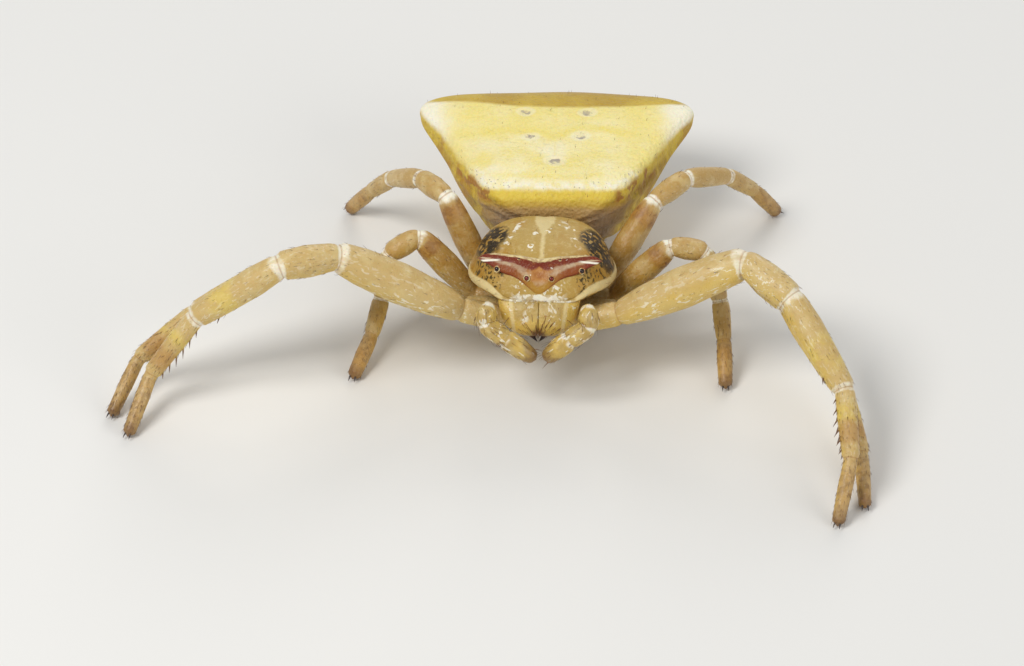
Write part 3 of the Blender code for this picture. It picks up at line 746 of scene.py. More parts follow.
def carapace_finish(colours):
    """Skin of the carapace: tan, with cream stripe and margin, white flecks and a dark net each side."""
    finish = Finish("carapace_finish", 0.40, 0.0, 0.10, 0.28)
    spot = finish.spot
    rough = spot.warped(6.0, 0.10)
    x, y, ring = finish.place.axes()
    wide = x.size()
    tan, cream, white = paint(colours.tan), paint(colours.cream), paint(colours.white)
    base = (spot.noise(2.2, 4.0) * 1.2 + wide * 0.35).step(0.60, 1.40).over(tan, paint(colours.amber))
    base = (rough.noise(9.0, 4.0).step(0.50, 0.68) * 0.25).over(base, cream)
    stripe_half = 0.045 + y.step(-0.10, 0.75) * 0.20
    stripe = (stripe_half - (x - 0.04 + (spot.noise(7.0) - 0.5) * 0.12).size()).step(-0.04, 0.04)
    base = (stripe * ring.step(1.2, 1.0) * 0.8).over(base, cream)
    rows = (wide - 0.76 + y * 0.36).size().step(0.11, 0.03) * y.near(0.15, 0.75)
    base = (rows * rough.noise(6.0, 3.0).step(0.50, 0.56) * 0.85).over(base, white)
    strewn = spot.warped(9.0, 0.12).flecks(5.0, 0.20, 0.20) * ring.step(2.6, 2.0) * y.step(-1.3, -0.7)
    base = (strewn * 0.8).over(base, white)
    for across, along in ((-0.16, 0.03), (-0.25, -0.50), (0.12, 0.12)):
        mark = ellipse(x + (rough.noise(5.0) - 0.5) * 0.16, y, (across, along), (0.085, 0.10))
        base = (mark * rough.noise(7.0, 2.0).step(0.44, 0.52) * 0.9).over(base, white)
    black = paint(colours.net)
    patch = ellipse(wide - x * 0.05, y + (spot.noise(3.0, 2.0) - 0.5) * 0.5, (1.29, 0.14), (0.48, 0.72))
    lines = spot.warped(4.0, 0.22).cells(5.5, "DISTANCE_TO_EDGE").step(0.25, 0.16)
    lines = lines * spot.noise(4.0, 3.0).step(0.35, 0.43)
    blobs = rough.noise(6.0, 3.0).step(0.53, 0.58)
    base = (patch * lines.larger(blobs)).over(base, black)
    base = (patch * 0.15).over(base, paint(colours.brown))
    tail = ellipse(wide, y, (1.38, -0.50), (0.26, 0.62)) * rough.noise(9.0, 3.0).step(0.52, 0.57)
    low = ellipse(wide, y, (1.12, -1.08), (0.30, 0.42)) * rough.noise(12.0, 3.0).step(0.54, 0.60)
    base = (tail.larger(low) * 0.85).over(base, black)
    band = (ring - 3.80 + y.step(-0.4, -1.3) * 0.35).size().step(0.54, 0.36) * wide.step(0.84, 0.94)
    base = (band * (0.7 + rough.noise(8.0) * 0.4)).over(base, cream)
    edge = (y + (rough.noise(7.0, 2.0) - 0.5) * 0.03).step(-1.480, -1.492) * ring.step(4.6, 4.2)
    frost = y.step(-1.10, -1.35) * wide.step(0.75, 0.45) * rough.noise(7.0, 4.0).step(0.56, 0.61)
    edge = edge * (0.25 + rough.noise(6.0, 3.0).step(0.48, 0.56) * 0.6)
    base = edge.larger(frost * 0.75).over(base, white)
    grain = spot.noise(28.0, 4.0) * 0.6 + spot.noise(6.0, 2.0) * 0.8
    return finish.done(base, grain, 0.025)


def ridge_finish(colours):
    """Skin of the eye ridge: pale to orange between a maroon band and a rust margin, with a white line."""
    finish = Finish("ridge_finish", 0.32, 0.12, 0.0, 0.35)
    spot = finish.spot
    rough = spot.warped(6.0, 0.10)
    x, q, down = finish.place.axes()
    wide = x.size()
    white, maroon, rust = paint(colours.white), paint(colours.maroon), paint(colours.rust)
    orange, face = paint(colours.orange), paint(colours.face)
    blot = rough.noise(7.0, 3.0) - 0.5
    base = (wide + blot * 0.5).step(0.18, 0.42).over(orange, face)
    base = (rough.noise(4.0, 4.0).step(0.48, 0.60) * wide.step(0.1, 0.4) * 0.5).over(base, orange)
    base = (rough.noise(3.0, 3.0).step(0.52, 0.62) * wide.step(0.1, 0.4) * 0.4).over(base, rust)
    apex = down.step(0.50, 0.62) * (wide + blot * 0.3).step(0.30, 0.05)
    base = (apex * 0.6).over(base, face)
    base = (wide.step(0.30, 0.0) * rough.noise(4.0, 4.0).step(0.45, 0.55) * 0.5).over(base, rust)
    low = (q + blot * 0.9 + wide.step(0.15, 0.9) * 0.6).step(5.40, 6.05)
    low = low.larger(down.step(0.66, 0.80) * (q + blot).step(5.5, 6.4))
    margin = wide.step(0.05, 0.7).over(paint(colours.amber), rust)
    margin = (wide.step(0.95, 1.25)).over(margin, maroon)
    base = low.over(base, margin)
    rim = (q + blot * 0.3).step(6.6, 7.1) * wide.step(0.05, 0.35)
    base = (rim * 0.6).over(base, maroon)
    high = (q + blot * 0.8 + (0.20 - wide).larger(0.0) * 3.5).step(4.65, 4.25)
    base = high.over(base, maroon)
    glow = high * rough.noise(7.0, 2.0).step(0.50, 0.62) * wide.step(0.9, 0.2)
    base = (glow * 0.7).over(base, rust)
    scratch = (rough.noise(12.0, 2.0) - 0.5).size().step(0.015, 0.0) * high
    base = (scratch * 0.35).over(base, face)
    line = (down - (wide - 1.0).larger(0.0) * 0.07 - 0.05).size().step(0.036, 0.010) * wide.step(0.90, 1.08)
    base = line.over(base, white)
    spots = rough.flecks(8.0, 0.24, 0.10) * wide.step(1.1, 0.9) * (1.0 - low)
    base = (spots * 0.8).over(base, white)
    ledge = (q + (spot.noise(9.0, 3.0) - 0.5) * 0.9).step(3.25, 2.85) * wide.step(1.30, 1.10)
    ledge = ledge * (0.55 + rough.noise(10.0, 3.0).step(0.40, 0.56) * 0.45)
    base = ledge.over(base, paint(colours.cream))
    grain = spot.noise(20.0, 4.0) + spot.noise(6.0, 2.0) * 1.4
    return finish.done(base, grain, 0.02)


def abdomen_finish(colours):
    """Skin of the abdomen. Its drop is how far a point lies below the flat back, which is cream there, then
    has a dotted fringe, a yellow band, and below it the front slope, whose brown, olive and grey are painted
    shade where it falls away behind the carapace, and the folded flanks."""
    finish = Finish("abdomen_finish", 0.55, 0.0, 0.15)
    spot = finish.spot
    rough = spot.warped(1.6, 0.35)
    x, y, drop = finish.place.axes()
    wide = x.size()
    plateau, yellow, white = paint(colours.plateau), paint(colours.yellow), paint(colours.white)
    olive, slope, russet = paint(colours.olive), paint(colours.slope), paint(colours.russet)
    lemon = paint(colours.lemon)
    sway = rough.noise(1.1, 2.0) - 0.5
    base = (rough.noise(1.5, 4.0).step(0.42, 0.66) * 0.45).over(plateau, white)
    cloud = rough.noise(1.0, 4.0).step(0.44, 0.60) * wide.step(3.2, 2.0)
    base = (cloud * 0.45).over(base, lemon)
    straight = y + sway * 0.5 - 4.45 + wide.step(0.5, 0.0) * 0.25
    first = straight.size().step(0.24, 0.03) * wide.step(2.4, 1.5)
    bent = y + sway * 0.7 - 3.34 + wide.step(1.0, 0.0) * 0.42
    second = bent.size().step(0.42, 0.06) * wide.step(1.8, 0.9) * 0.8
    third = (y + sway * 0.6 - 2.48).size().step(0.14, 0.02) * wide.step(1.6, 0.9) * 0.6
    keel = wide.step(0.045, 0.0) * y.step(2.4, 2.8) * (0.25 + rough.noise(3.0) * 0.4)
    lines = first.larger(second).larger(third).larger(keel)
    base = (lines * (0.35 + spot.noise(2.5, 3.0) * 0.9)).over(base, lemon)
    pale = rough.noise(0.8, 2.0).step(0.50, 0.60) * wide.near(1.7, 1.1) * y.near(3.6, 0.7)
    base = (pale * 0.6).over(base, white)
    base = (spot.cells(16.0).step(0.30, 0.55) * 0.15).over(base, white)
    tips = (wide + (rough.noise(1.5) - 0.5) * 0.8).step(2.2, 3.1) * y.near(5.2, 1.4)
    base = (tips * 0.8).over(base, white)
    shoulder = (drop + sway * 0.15).step(-0.16, 0.06) * y.step(2.7, 3.1) * wide.step(3.1, 2.4)
    base = (shoulder * 0.7).over(base, lemon)
    side = (y + (wide - 1.7).larger(0.0) * 0.8).step(2.35, 2.95)
    deep = drop + (2.45 - y).larger(0.0) * 0.32 + sway * 0.08
    fringe = deep.step(-0.04, 0.06) * deep.step(0.24, 0.14) * y.step(3.3, 2.6)
    base = (fringe * spot.noise(6.0, 4.0).step(0.30, 0.70) * 0.9).over(base, white)
    pits = spot.flecks(9.0, 0.24, 0.7) * fringe.step(0.1, 0.5)
    base = (pits * 0.6).over(base, paint(colours.grey))
    front = (deep + (spot.noise(5.0, 3.0) - 0.5) * 0.1).step(0.10, 0.26)
    # Below low the yellow band gives way to the slope colour, painted shade of the front slope where it
    # falls away behind the carapace; the flanks' olive is their own colour
    low = (deep + side * 0.15 - wide * 0.02).step(0.42, 0.66)
    skin = side.over(slope, olive)
    skin = ((1.0 - low) * (1.0 - side * 0.35)).over(skin, yellow)
    # A band of olive painted shade across the front slope
    shade = deep.step(0.36, 0.50) * deep.step(0.70, 0.54) * 0.6
    skin = (shade * (1.0 - side)).over(skin, olive)
    # Grey painted shadow low on the front slope, where it goes down behind the carapace
    slope_shadow_grey = (wide - 1.15).size().step(0.55, 0.1) * deep.step(0.62, 0.9) * (1.0 - side)
    skin = (slope_shadow_grey * 0.45).over(skin, paint(colours.grey))
    folds = spot.warped(1.0, 0.6).scaled((1.0, 1.0, 0.45)).noise(3.0, 3.0)
    skin = (folds.step(0.50, 0.60) * side * 0.65).over(skin, yellow)
    skin = (folds.step(0.46, 0.38) * side * 0.45).over(skin, russet)
    skin = (spot.noise(9.0, 3.0).step(0.55, 0.65) * 0.2).over(skin, slope)
    blotch = deep.near(0.36, 0.26) * (y - 1.95).step(0.0, 0.2) * y.step(3.75, 3.45) * wide.step(1.45, 1.6)
    blotch = blotch * rough.noise(2.3, 3.0).step(0.47, 0.53)
    skin = (blotch * 0.9).over(skin, russet)
    speck = spot.flecks(5.0, 0.10, 0.2) * deep.step(0.15, 0.3)
    skin = (speck * 0.6).over(skin, paint(colours.brown))
    base = front.over(base, skin)
    rear = (y + sway * 0.2 - wide.step(0.8, 2.6) * 0.12).step(5.36, 5.52) * wide.step(3.5, 3.0)
    strip = (spot.noise(0.9, 3.0).step(0.35, 0.65) * 0.5).over(olive, yellow)
    strip = (y.step(6.0, 6.5) * 0.7).over(strip, slope)
    base = (rear * deep.step(1.4, 1.0)).over(base, strip)
    base = (drop.step(1.9, 2.3) * 0.7).over(base, slope)
    top = deep.step(0.12, 0.02)
    base = (dimple_mask(x, y + sway * 0.3, 2.1) * top * 0.35).over(base, white)
    pit = dimple_mask(x, y + (spot.noise(6.0) - 0.5) * 0.3) * rough.noise(9.0).step(0.3, 0.6)
    base = (pit * top * 0.8).over(base, paint(colours.grey))
    grain = spot.noise(14.0, 5.0) + spot.cells(10.0) * 0.8 + spot.noise(3.0, 3.0) * 1.5
    return finish.done(base, grain, 0.03)


def ellipse(x, y, middle, radii):
    """1 inside an ellipse, falling to 0 at its edge."""
    wide, far = (x - middle[0]) / radii[0], (y - middle[1]) / radii[1]
    return (wide * wide + far * far).step(1.0, 0.45)


DIMPLES = ((0.78, 5.20, 0.11), (0.63, 4.20, 0.11), (0.0, 3.05, 0.13))


def dimple_mask(x, y, grown=1.0):
    """1 in the dimples of the abdomen's back, which lie in pairs and one in front."""
    mask = 0.0
    for across, along, size in DIMPLES:
        radii = (size * grown * 1.3, size * grown)
        mask = ellipse(x.size(), y, (across, along), radii).larger(mask)
    return mask


def leg_finish(colours, long_leg):
    """Skin of a leg: white flecks and joint marks on beige or amber, with rings and darker feet."""
    name = "leg_finish" if long_leg else "hind_leg_finish"
    finish = Finish(name, 0.42, 0.1, 0.16)
    spot = finish.spot
    rough = spot.warped(6.0, 0.12)
    along, back, _ = finish.place.axes()
    white, cream, honey = paint(colours.white), paint(colours.cream), paint(colours.honey)
    laid = finish.place.scaled((2.2, 0.5, 0.5))
    upper = paint(colours.beige)
    if not long_leg:
        upper = (0.45 + along.step(2.0, 1.6) * 0.35).over(upper, paint(colours.amber))
    base = (rough.noise(2.5, 4.0).step(0.45, 0.65) * 0.4).over(upper, cream)
    # The underside is painted honey: partly the leg's own yellow, partly a painted yellow glow of light
    # coming up from below
    under = (back + (rough.noise(3.0) - 0.5) * 0.8).step(0.0, -0.9)
    base = (under * (0.9 if long_leg else 0.5)).over(base, honey)
    dust = laid.noise(1.1, 2.0).step(0.42, 0.60) * back.step(0.7, -0.3) * along.step(4.2, 3.4)
    streaks = laid.warped(5.0, 0.2).scaled((0.5, 1.0, 1.0)).noise(13.0, 4.0)
    strewn = streaks.step(0.575, 0.615) * (0.25 + dust * 0.75)
    base = (strewn * (0.85 if long_leg else 0.4)).over(base, white)
    base = (dust * 0.25).over(base, cream)
    share = along.math("FRACT", along)
    joint = (share - 0.5).size()
    marks = (joint + (rough.noise(3.0) - 0.5) * 0.10).step(0.435, 0.470) * along.step(1.4, 1.6)
    marks = marks * along.step(4.5, 4.2) * (0.45 + laid.noise(3.0, 3.0).step(0.40, 0.54) * 0.55)
    base = (marks * (0.75 if long_leg else 0.95)).over(base, white)
    seam = joint.step(0.487, 0.498) * along.step(0.6, 0.9)
    base = (seam * 0.5).over(base, paint(colours.russet))
    if long_leg:
        ring = (along + (rough.noise(4.0) - 0.5) * 0.3 - 4.68).size().step(0.26, 0.05)
        glow = (along - 4.40).size().step(0.20, 0.05).larger((along - 3.62).size().step(0.25, 0.05))
        base = (glow * rough.noise(2.5, 3.0).step(0.36, 0.60) * 0.5).over(base, paint(colours.yellow))
    else:
        ring = (along + (rough.noise(4.0) - 0.5) * 0.1 - 1.83).size().step(0.12, 0.05)
        base = (ring * rough.noise(5.0, 3.0).step(0.45, 0.6) * 0.6).over(base, paint(colours.brown))
    base = (ring * 0.55).over(base, paint(colours.russet))
    foot = (along + (rough.noise(5.0) - 0.5) * 0.4).step(4.85, 5.25)
    base = (foot * 0.38).over(base, paint(colours.russet))
    base = (foot * rough.noise(6.0, 4.0).step(0.45, 0.65) * 0.35).over(base, paint(colours.brown))
    foot = (along + (rough.noise(5.0) - 0.5) * 0.2).step(5.6, 6.0)
    base = (foot * 0.65).over(base, paint(colours.brown))
    pores = spot.cells(9.0).step(0.13, 0.08) * along.step(1.0, 1.3)
    base = (pores * 0.5).over(base, paint(colours.russet))
    grain = spot.noise(22.0, 4.0) + spot.noise(6.0, 2.0) - pores * 0.8
    return finish.done(base, grain, 0.02)


def jaw_finish(colours):
    """Skin of the jaws: tan with pale yellow sides, dark about the joint of the fangs, with painted shade
    down the seam where the two jaws meet.
    """
    finish = Finish("jaw_finish", 0.40, 0.2, 0.2)
    spot = finish.spot
    rough = spot.warped(6.0, 0.12)
    down, wide, away = finish.place.axes()
    white, cream, honey = paint(colours.white), paint(colours.cream), paint(colours.honey)
    base = (rough.noise(3.0, 4.0).step(0.4, 0.7) * 0.4).over(paint(colours.tan), cream)
    base = ((down + (rough.noise(3.0) - 0.5) * 0.5).step(0.30, 0.65) * 0.8).over(base, honey)
    base = ((wide + down * 0.15).step(0.58, 0.72) * 0.8).over(base, honey)
    base = ((wide + down * 0.15 - 0.70).size().step(0.07, 0.02) * 0.8).over(base, cream)
    frost = (wide - 0.10 - down * 0.5).size().step(0.14, 0.03) * down.near(0.36, 0.26)
    frost = frost * rough.noise(8.0, 3.0).step(0.50, 0.58)
    fine = rough.noise(10.0, 3.0).step(0.60, 0.66) * down.step(0.6, 0.3)
    base = (frost.larger(fine) * 0.65).over(base, white)
    dark = (away + (rough.noise(9.0, 3.0) - 0.5) * 0.20).step(0.33, 0.06)
    # A thin brown line down the middle, where the two jaws meet, is painted shade in the seam between them,
    # deepest towards the fangs' joint
    groove = wide.step(0.045, 0.0) * away.step(0.75, 0.25)
    base = (dark.larger(groove * 0.35) * 0.9).over(base, paint(colours.brown))
    grain = spot.noise(24.0, 4.0) + spot.noise(7.0, 2.0)
    return finish.done(base, grain, 0.02)


def palp_finish(colours):
    """Skin of the palps: tan with white streaks and joints, darker to the tip."""
    finish = Finish("palp_finish", 0.40, 0.2, 0.2)
    spot = finish.spot
    rough = spot.warped(6.0, 0.12)
    along = finish.place.axes()[0]
    white, cream = paint(colours.white), paint(colours.cream)
    base = (rough.noise(3.0, 4.0).step(0.4, 0.7) * 0.45).over(paint(colours.tan), cream)
    base = (rough.noise(2.2, 2.0).step(0.40, 0.60) * 0.6).over(base, paint(colours.honey))
    ends = (along.math("FRACT", along) - 0.5).size().step(0.40, 0.48)
    ends = ends * along.step(0.6, 0.9) * along.step(3.5, 3.1)
    base = (ends * rough.noise(4.0).step(0.42, 0.55) * 0.85).over(base, white)
    streaks = finish.place.scaled((0.3, 0.3, 0.3)).noise(9.0, 4.0).step(0.56, 0.61)
    base = (streaks * rough.noise(5.0, 2.0).step(0.42, 0.54) * 0.7).over(base, white)
    dark = (along + (rough.noise(6.0) - 0.5) * 0.7).step(3.35, 3.95)
    base = (dark * 0.75).over(base, paint(colours.brown))
    pores = spot.cells(9.0).step(0.14, 0.08)
    base = (pores * 0.5).over(base, paint(colours.brown))
    grain = spot.noise(24.0, 4.0) + spot.noise(7.0, 2.0)
    return finish.done(base, grain, 0.02)


def under_finish(colours):
    """Skin of the breastplate, mouth, waist and spinnerets."""
    finish = Finish("under_finish", 0.45, 0.15, 0.2)
    spot = finish.spot
    base = (spot.noise(2.5, 4.0).step(0.4, 0.65) * 0.7).over(paint(colours.tan), paint(colours.cream))
    base = (spot.flecks(6.0, 0.25, 0.2) * 0.6).over(base, paint(colours.white))
    tip = finish.place.axes()[0].step(0.72, 1.0)
    base = (tip * 0.7).over(base, paint(colours.russet))
    grain = spot.noise(20.0, 4.0) + spot.noise(5.0, 2.0)
    return finish.done(base, grain, 0.02)


def spine_finish(name, root, tip):
    """Horn that darkens from its root to its point."""
    finish = Finish(name, 0.35, 0.3)
    share = finish.place.axes()[0] + (finish.spot.noise(15.0) - 0.5) * 0.2
    base = share.step(0.0, 0.45).over(paint(root), paint(tip))
    return finish.done(base, finish.spot.noise(40.0, 3.0), 0.004)


def eye_finish(colours, name, glow):
    """A glossy lens that is the dark eye colour, and glows where it faces ahead."""
    finish = Finish(name, 0.08, 0.15, 0.0, 0.5)
    facing = finish.place.axes()[0]
    base = (facing + finish.spot.noise(30.0) * 0.1).step(0.55, 1.05).over(paint(colours.eye), paint(glow))
    return finish.done(base)


def rim_finish(colours):
    """The pale rims of the eyes, mottled orange and cream."""
    finish = Finish("eye_rim_finish", 0.35, 0.3, 0.1)
    base = finish.spot.noise(12.0, 3.0).step(0.4, 0.6).over(paint(colours.orange), paint(colours.cream))
    return finish.done(base, finish.spot.noise(30.0, 3.0), 0.006)


def floor_finish(colours):
    """A plain pale floor."""
    finish = Finish("floor_finish", 0.8)
    base = (finish.spot.noise(0.05, 2.0) * 0.04).over(paint(colours.floor), (0.7, 0.69, 0.67, 1.0))
    return finish.done(base)


class SpiderOperator(bpy.types.Operator):
    """Shared settings of the operators below."""

    bl_options = {"REGISTER", "UNDO"}

    def execute(self, context):
        self.make(context.scene.spider_sizes, context.scene.spider_colours)
        return {"FINISHED"}


def area_light(name, place, target, size, power, tint):
    """Adds a round lamp that points at its target."""
    light = bpy.data.lights.new(name, "AREA")
    light.shape = "DISK"
    light.size = size
    light.energy = power
    light.color = tint
    lamp = bpy.data.objects.new(name, light)
    lamp.matrix_world = Matrix(facing_matrix(np.array(place), np.array(target)))
    bpy.context.scene.collection.objects.link(lamp)


def facing_matrix(place, target, roll=0.0):
    """A camera's or lamp's matrix: its -Z axis points at the target and its X axis is level, then rolled."""
    back = unit(place - target)
    right = unit(np.cross((0.0, 0.0, 1.0), back))
    up = np.cross(back, right)
    a = np.radians(roll)
    matrix = np.eye(4)
    matrix[:3, 0] = np.cos(a) * right + np.sin(a) * up
    matrix[:3, 1] = np.cos(a) * up - np.sin(a) * right
    matrix[:3, 2] = back
    matrix[:3, 3] = place
    return [list(row) for row in matrix]


class SPIDER_OT_stage(SpiderOperator):
    """Adds the floor, the light and the camera."""

    bl_idname = "spider.stage"
    bl_label = "Stage"

    def make(self, sizes, colours):
        reach = FLOOR_REACH / MM
        corner = np.linspace(-reach, reach, 2)
        x, y = np.meshgrid(corner, corner, indexing="ij")
        points = np.stack((x, y, np.zeros_like(x)), axis=-1).reshape(-1, 3)
        shape = Shape(points, np.array(((0, 2, 3, 1),)), np.zeros((0, 3), int), points)
        mesh = bpy.data.meshes.new("floor")
        mesh.from_pydata(shape.points * MM, [], shape.fours)
        mesh.materials.append(floor_finish(colours))
        floor = bpy.data.objects.new("floor", mesh)
        bpy.context.scene.collection.objects.link(floor)
        world = bpy.data.worlds.new("soft_room")
        world.use_nodes = True
        world.node_tree.nodes["Background"].inputs["Color"].default_value = ROOM_TINT
        world.node_tree.nodes["Background"].inputs["Strength"].default_value = ROOM_LIGHT
        bpy.context.scene.world = world
        bpy.context.scene.view_settings.view_transform = "Standard"
        for name, (place, size, power, tint) in LAMPS.items():
            area_light(name, place, LAMP_AIM, size, power, tint)
        e, a = np.radians(CAMERA_UP), np.radians(CAMERA_ROUND)
        away = np.array((np.sin(a) * np.cos(e), -np.cos(a) * np.cos(e), np.sin(e)))
        data = bpy.data.cameras.new("camera")
        data.lens = CAMERA_LENS
        data.sensor_width = 36.0
        data.clip_start = 0.001
        camera = bpy.data.objects.new("camera", data)
        rows = facing_matrix(CAMERA_AIM + away * CAMERA_AWAY, CAMERA_AIM, CAMERA_ROLL)
        camera.matrix_world = Matrix(rows)
        bpy.context.scene.collection.objects.link(camera)
        bpy.context.scene.camera = camera


def carapace_shape():
    """The carapace's spline surface, with a rolled margin and a shallow groove above it."""
    half = [
        [(w * half, y, margin + (top - margin) * h) for w, h in CARAPACE_SECTION]
        + [(half * CARAPACE_UNDER, y, under), (0.0, y, under)]
        for y, half, top, margin, under in CARAPACE_ROWS
    ]
    grid, v, u = spline_surface(mirror_rows(half), 150, 200)
    ring = np.minimum(u, 12.0 - u)
    normals = grid_normals(grid)
    if (normals[75, 0] @ (0.0, 0.0, 1.0)) < 0.0:
        normals = -normals
    open_part = smooth(v, -1.0, 0.5) * smooth(v, 7.0, 5.5)
    rise = 0.035 * bell(ring, MARGIN_COLUMN, 0.40) - 0.025 * bell(ring, 3.1, 0.35)
    hollow = -0.02 * bell(grid[..., 0], 0.0, 0.10) * smooth(grid[..., 1], -0.3, 0.2)
    grid = grid + normals * ((rise * open_part) + hollow)[..., None]
    place = np.stack((grid[..., 0], grid[..., 1], ring), axis=-1)
    return closed_shape(to_world(grid), place), to_world(grid), normals @ BODY_TURN.T


class SPIDER_OT_carapace(SpiderOperator):
    """Adds the skin of the head and chest with its margin."""

    bl_idname = "spider.carapace"
    bl_label = "Carapace"

    def make(self, sizes, colours):
        shape, _, _ = carapace_shape()
        make_piece("carapace_skin", shape, carapace_finish(colours), ("carapace",))


def face_points(x, down, out):
    """Points on the face: down its slope from the ridge's upper edge, and out from it."""
    a = np.radians(FACE_SLOPE)
    along = np.array((0.0, -np.cos(a), -np.sin(a)))
    outward = np.array((0.0, -np.sin(a), np.cos(a)))
    start = RIDGE_TOP + np.array((1.0, 0.0, 0.0)) * x[..., None]
    return start + along * down[..., None] + outward * out[..., None]


def ridge_shape():
    """The eye ridge from horn tip to horn tip. At each x a ring goes over the face: its control points are
    shares of the half height and of the stand off there, joined by a cubic B-spline."""
    t = np.linspace(-1.0, 1.0, 221)
    x = RIDGE_TABLE[-1, 0] * np.sin(t * np.pi / 2)
    window = np.linspace(-0.07, 0.07, WINDOW)
    reach = np.abs(x[:, None] + window)
    upper, lower, stand = (
        np.interp(reach, RIDGE_TABLE[:, 0], RIDGE_TABLE[:, k]).mean(1) for k in (1, 2, 3)
    )
    section = np.array(RIDGE_SECTION)
    around, q = spline_weights(len(section), 96, True)
    share = around @ section
    middle, half = (upper + lower) / 2, (lower - upper) / 2
    root = RIDGE_ROOT * np.minimum(1.0, half / 0.25)
    sharp = 1.0 - 0.85 * smooth(np.abs(x), 1.40, 1.54)
    down = middle[:, None] + (half * sharp)[:, None] * share[None, :, 0]
    out = np.where(share[None, :, 1] > 0.0, (stand * sharp)[:, None], root[:, None]) * share[None, :, 1]
    across = np.broadcast_to(x[:, None], down.shape)
    swell = 0.02 * bell(down, 0.48, 0.16) * bell(np.abs(across), 0.27, 0.16) * (share[None, :, 1] > 0.3)
    hollow = -0.025 * bell(down, 0.20, 0.12) * bell(across, 0.0, 0.30) * (share[None, :, 1] > 0.3)
    grid = face_points(across, down, out + swell + hollow)
    place = np.stack((across, np.broadcast_to(q, across.shape), down), axis=-1)
    return closed_shape(to_world(grid), place)


class SPIDER_OT_ridge(SpiderOperator):
    """Adds the eye ridge with its two horns."""

    bl_idname = "spider.ridge"
    bl_label = "Eye ridge"

    def make(self, sizes, colours):
        make_piece("eye_ridge", ridge_shape(), ridge_finish(colours), ("carapace",))


def ball_shape(centre, size, axis, rows=20, columns=32):
    """A ball about an axis: at each angle from the axis a ring, whose marking is that angle's cosine."""
    angle = np.linspace(0.03, np.pi - 0.03, rows)
    around = np.arange(columns) * 2 * np.pi / columns
    axis = unit(np.asarray(axis, float))
    first = unit(np.cross(axis, (0.3, 0.2, 1.0)))
    second = np.cross(axis, first)
    ring = first * np.cos(around)[:, None] + second * np.sin(around)[:, None]
    grid = centre + size * (np.cos(angle)[:, None, None] * axis + np.sin(angle)[:, None, None] * ring)
    facing = np.broadcast_to(np.cos(angle)[:, None], (rows, columns))
    return closed_shape(grid, np.stack((facing, facing, facing), axis=-1))


def raised(centre, look, size, skin):
    """An eye's middle moved out along its look until the skin, at its furthest point near that line, reaches
    up the eye's side by its share."""
    away = skin - centre
    reach = away @ look
    beside = np.linalg.norm(away - reach[:, None] * look, axis=1)
    height = reach[(beside < size / 2) & (np.abs(reach) < 3 * size)].max(initial=0.0)
    return centre + look * np.clip(height - EYE_SUNK * size, 0.0, EYE_RAISED)


def rim_shape(centre, size, axis, thick, columns=32, sides=10):
    """A ring round an eye where it leaves the skin: a small circle carried round the axis."""
    around = np.arange(columns) * 2 * np.pi / columns
    turned = np.arange(sides) * 2 * np.pi / sides
    axis = unit(np.asarray(axis, float))
    first = unit(np.cross(axis, (0.3, 0.2, 1.0)))
    second = np.cross(axis, first)
    ring = first * np.cos(around)[:, None] + second * np.sin(around)[:, None]
    middle = centre + axis * size * 0.34 + ring * size * 0.98
    grid = (
        middle[:, None]
        + ring[:, None] * (thick * np.cos(turned))[:, None]
        + axis * (thick * np.sin(turned))[:, None]
    )
    index = np.arange(columns * sides).reshape(columns, sides)
    beside, below = np.roll(index, -1, axis=1), np.roll(index, -1, axis=0)
    both = np.roll(below, -1, axis=1)
    fours = np.stack((index, beside, both, below), axis=-1).reshape(-1, 4)
    points = grid.reshape(-1, 3)
    return outwards(Shape(points, fours, np.zeros((0, 3), int), np.zeros_like(points)))


class SPIDER_OT_eyes(SpiderOperator):
    """Adds the eight eyes, each in a pale rim."""

    bl_idname = "spider.eyes"
    bl_label = "Eyes"

    def make(self, sizes, colours):
        front = eye_finish(colours, "front_eye_finish", colours.ruby)
        dark = eye_finish(colours, "side_eye_finish", colours.eye)
        skin = np.concatenate((ridge_shape().points, carapace_shape()[0].points))
        rims = []
        for kind, (up, aside) in EYES.items():
            size = (sizes.front_eye if "anterior" in kind else sizes.rear_eye) / MM
            for side, sign in SIDES.items():
                low, high = (np.array(corner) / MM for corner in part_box(f"{kind}_{side}"))
                look = BODY_TURN @ direction(sign, 90.0 - aside, up)
                centre = raised((low + high) / 2, look, size, skin)
                material = front if kind == "eye_anterior_median" else dark
                name = f"{kind}_{side}"
                make_piece(name + "_lens", ball_shape(centre, size, look), material, (name,))
                rims.append(rim_shape(centre, size, look, size * 0.20))
        make_piece("eye_rims", joined(rims), rim_finish(colours))


def mirrored(points, sign):
    """Points with x multiplied by the sign of their side."""
    return np.asarray(points, float) * np.array((sign, 1.0, 1.0))


def jaw_grid(sign):
    """One jaw in the body frame: rings with a D-shaped section, flat where the two jaws meet, joined by the
    spline. Markings get the place down it, the distance from the middle and that from the fangs' joint."""
    z, wide, front, rear = (np.array(JAW_ROWS)[:, k, None] for k in range(4))
    across, deep = np.array(JAW_SECTION).T
    x = sign * (JAW_APART + wide * across)
    cage = np.stack((x, front + (rear - front) * deep, z + 0.0 * across), axis=-1)
    grid, v, _ = spline_surface(cage, 90, 72)
    away = np.hypot(grid[..., 0] - FANG_JOINT[0], grid[..., 2] - FANG_JOINT[1])
    return grid, np.stack((v / (len(z) - 1), np.abs(grid[..., 0]), away), axis=-1)


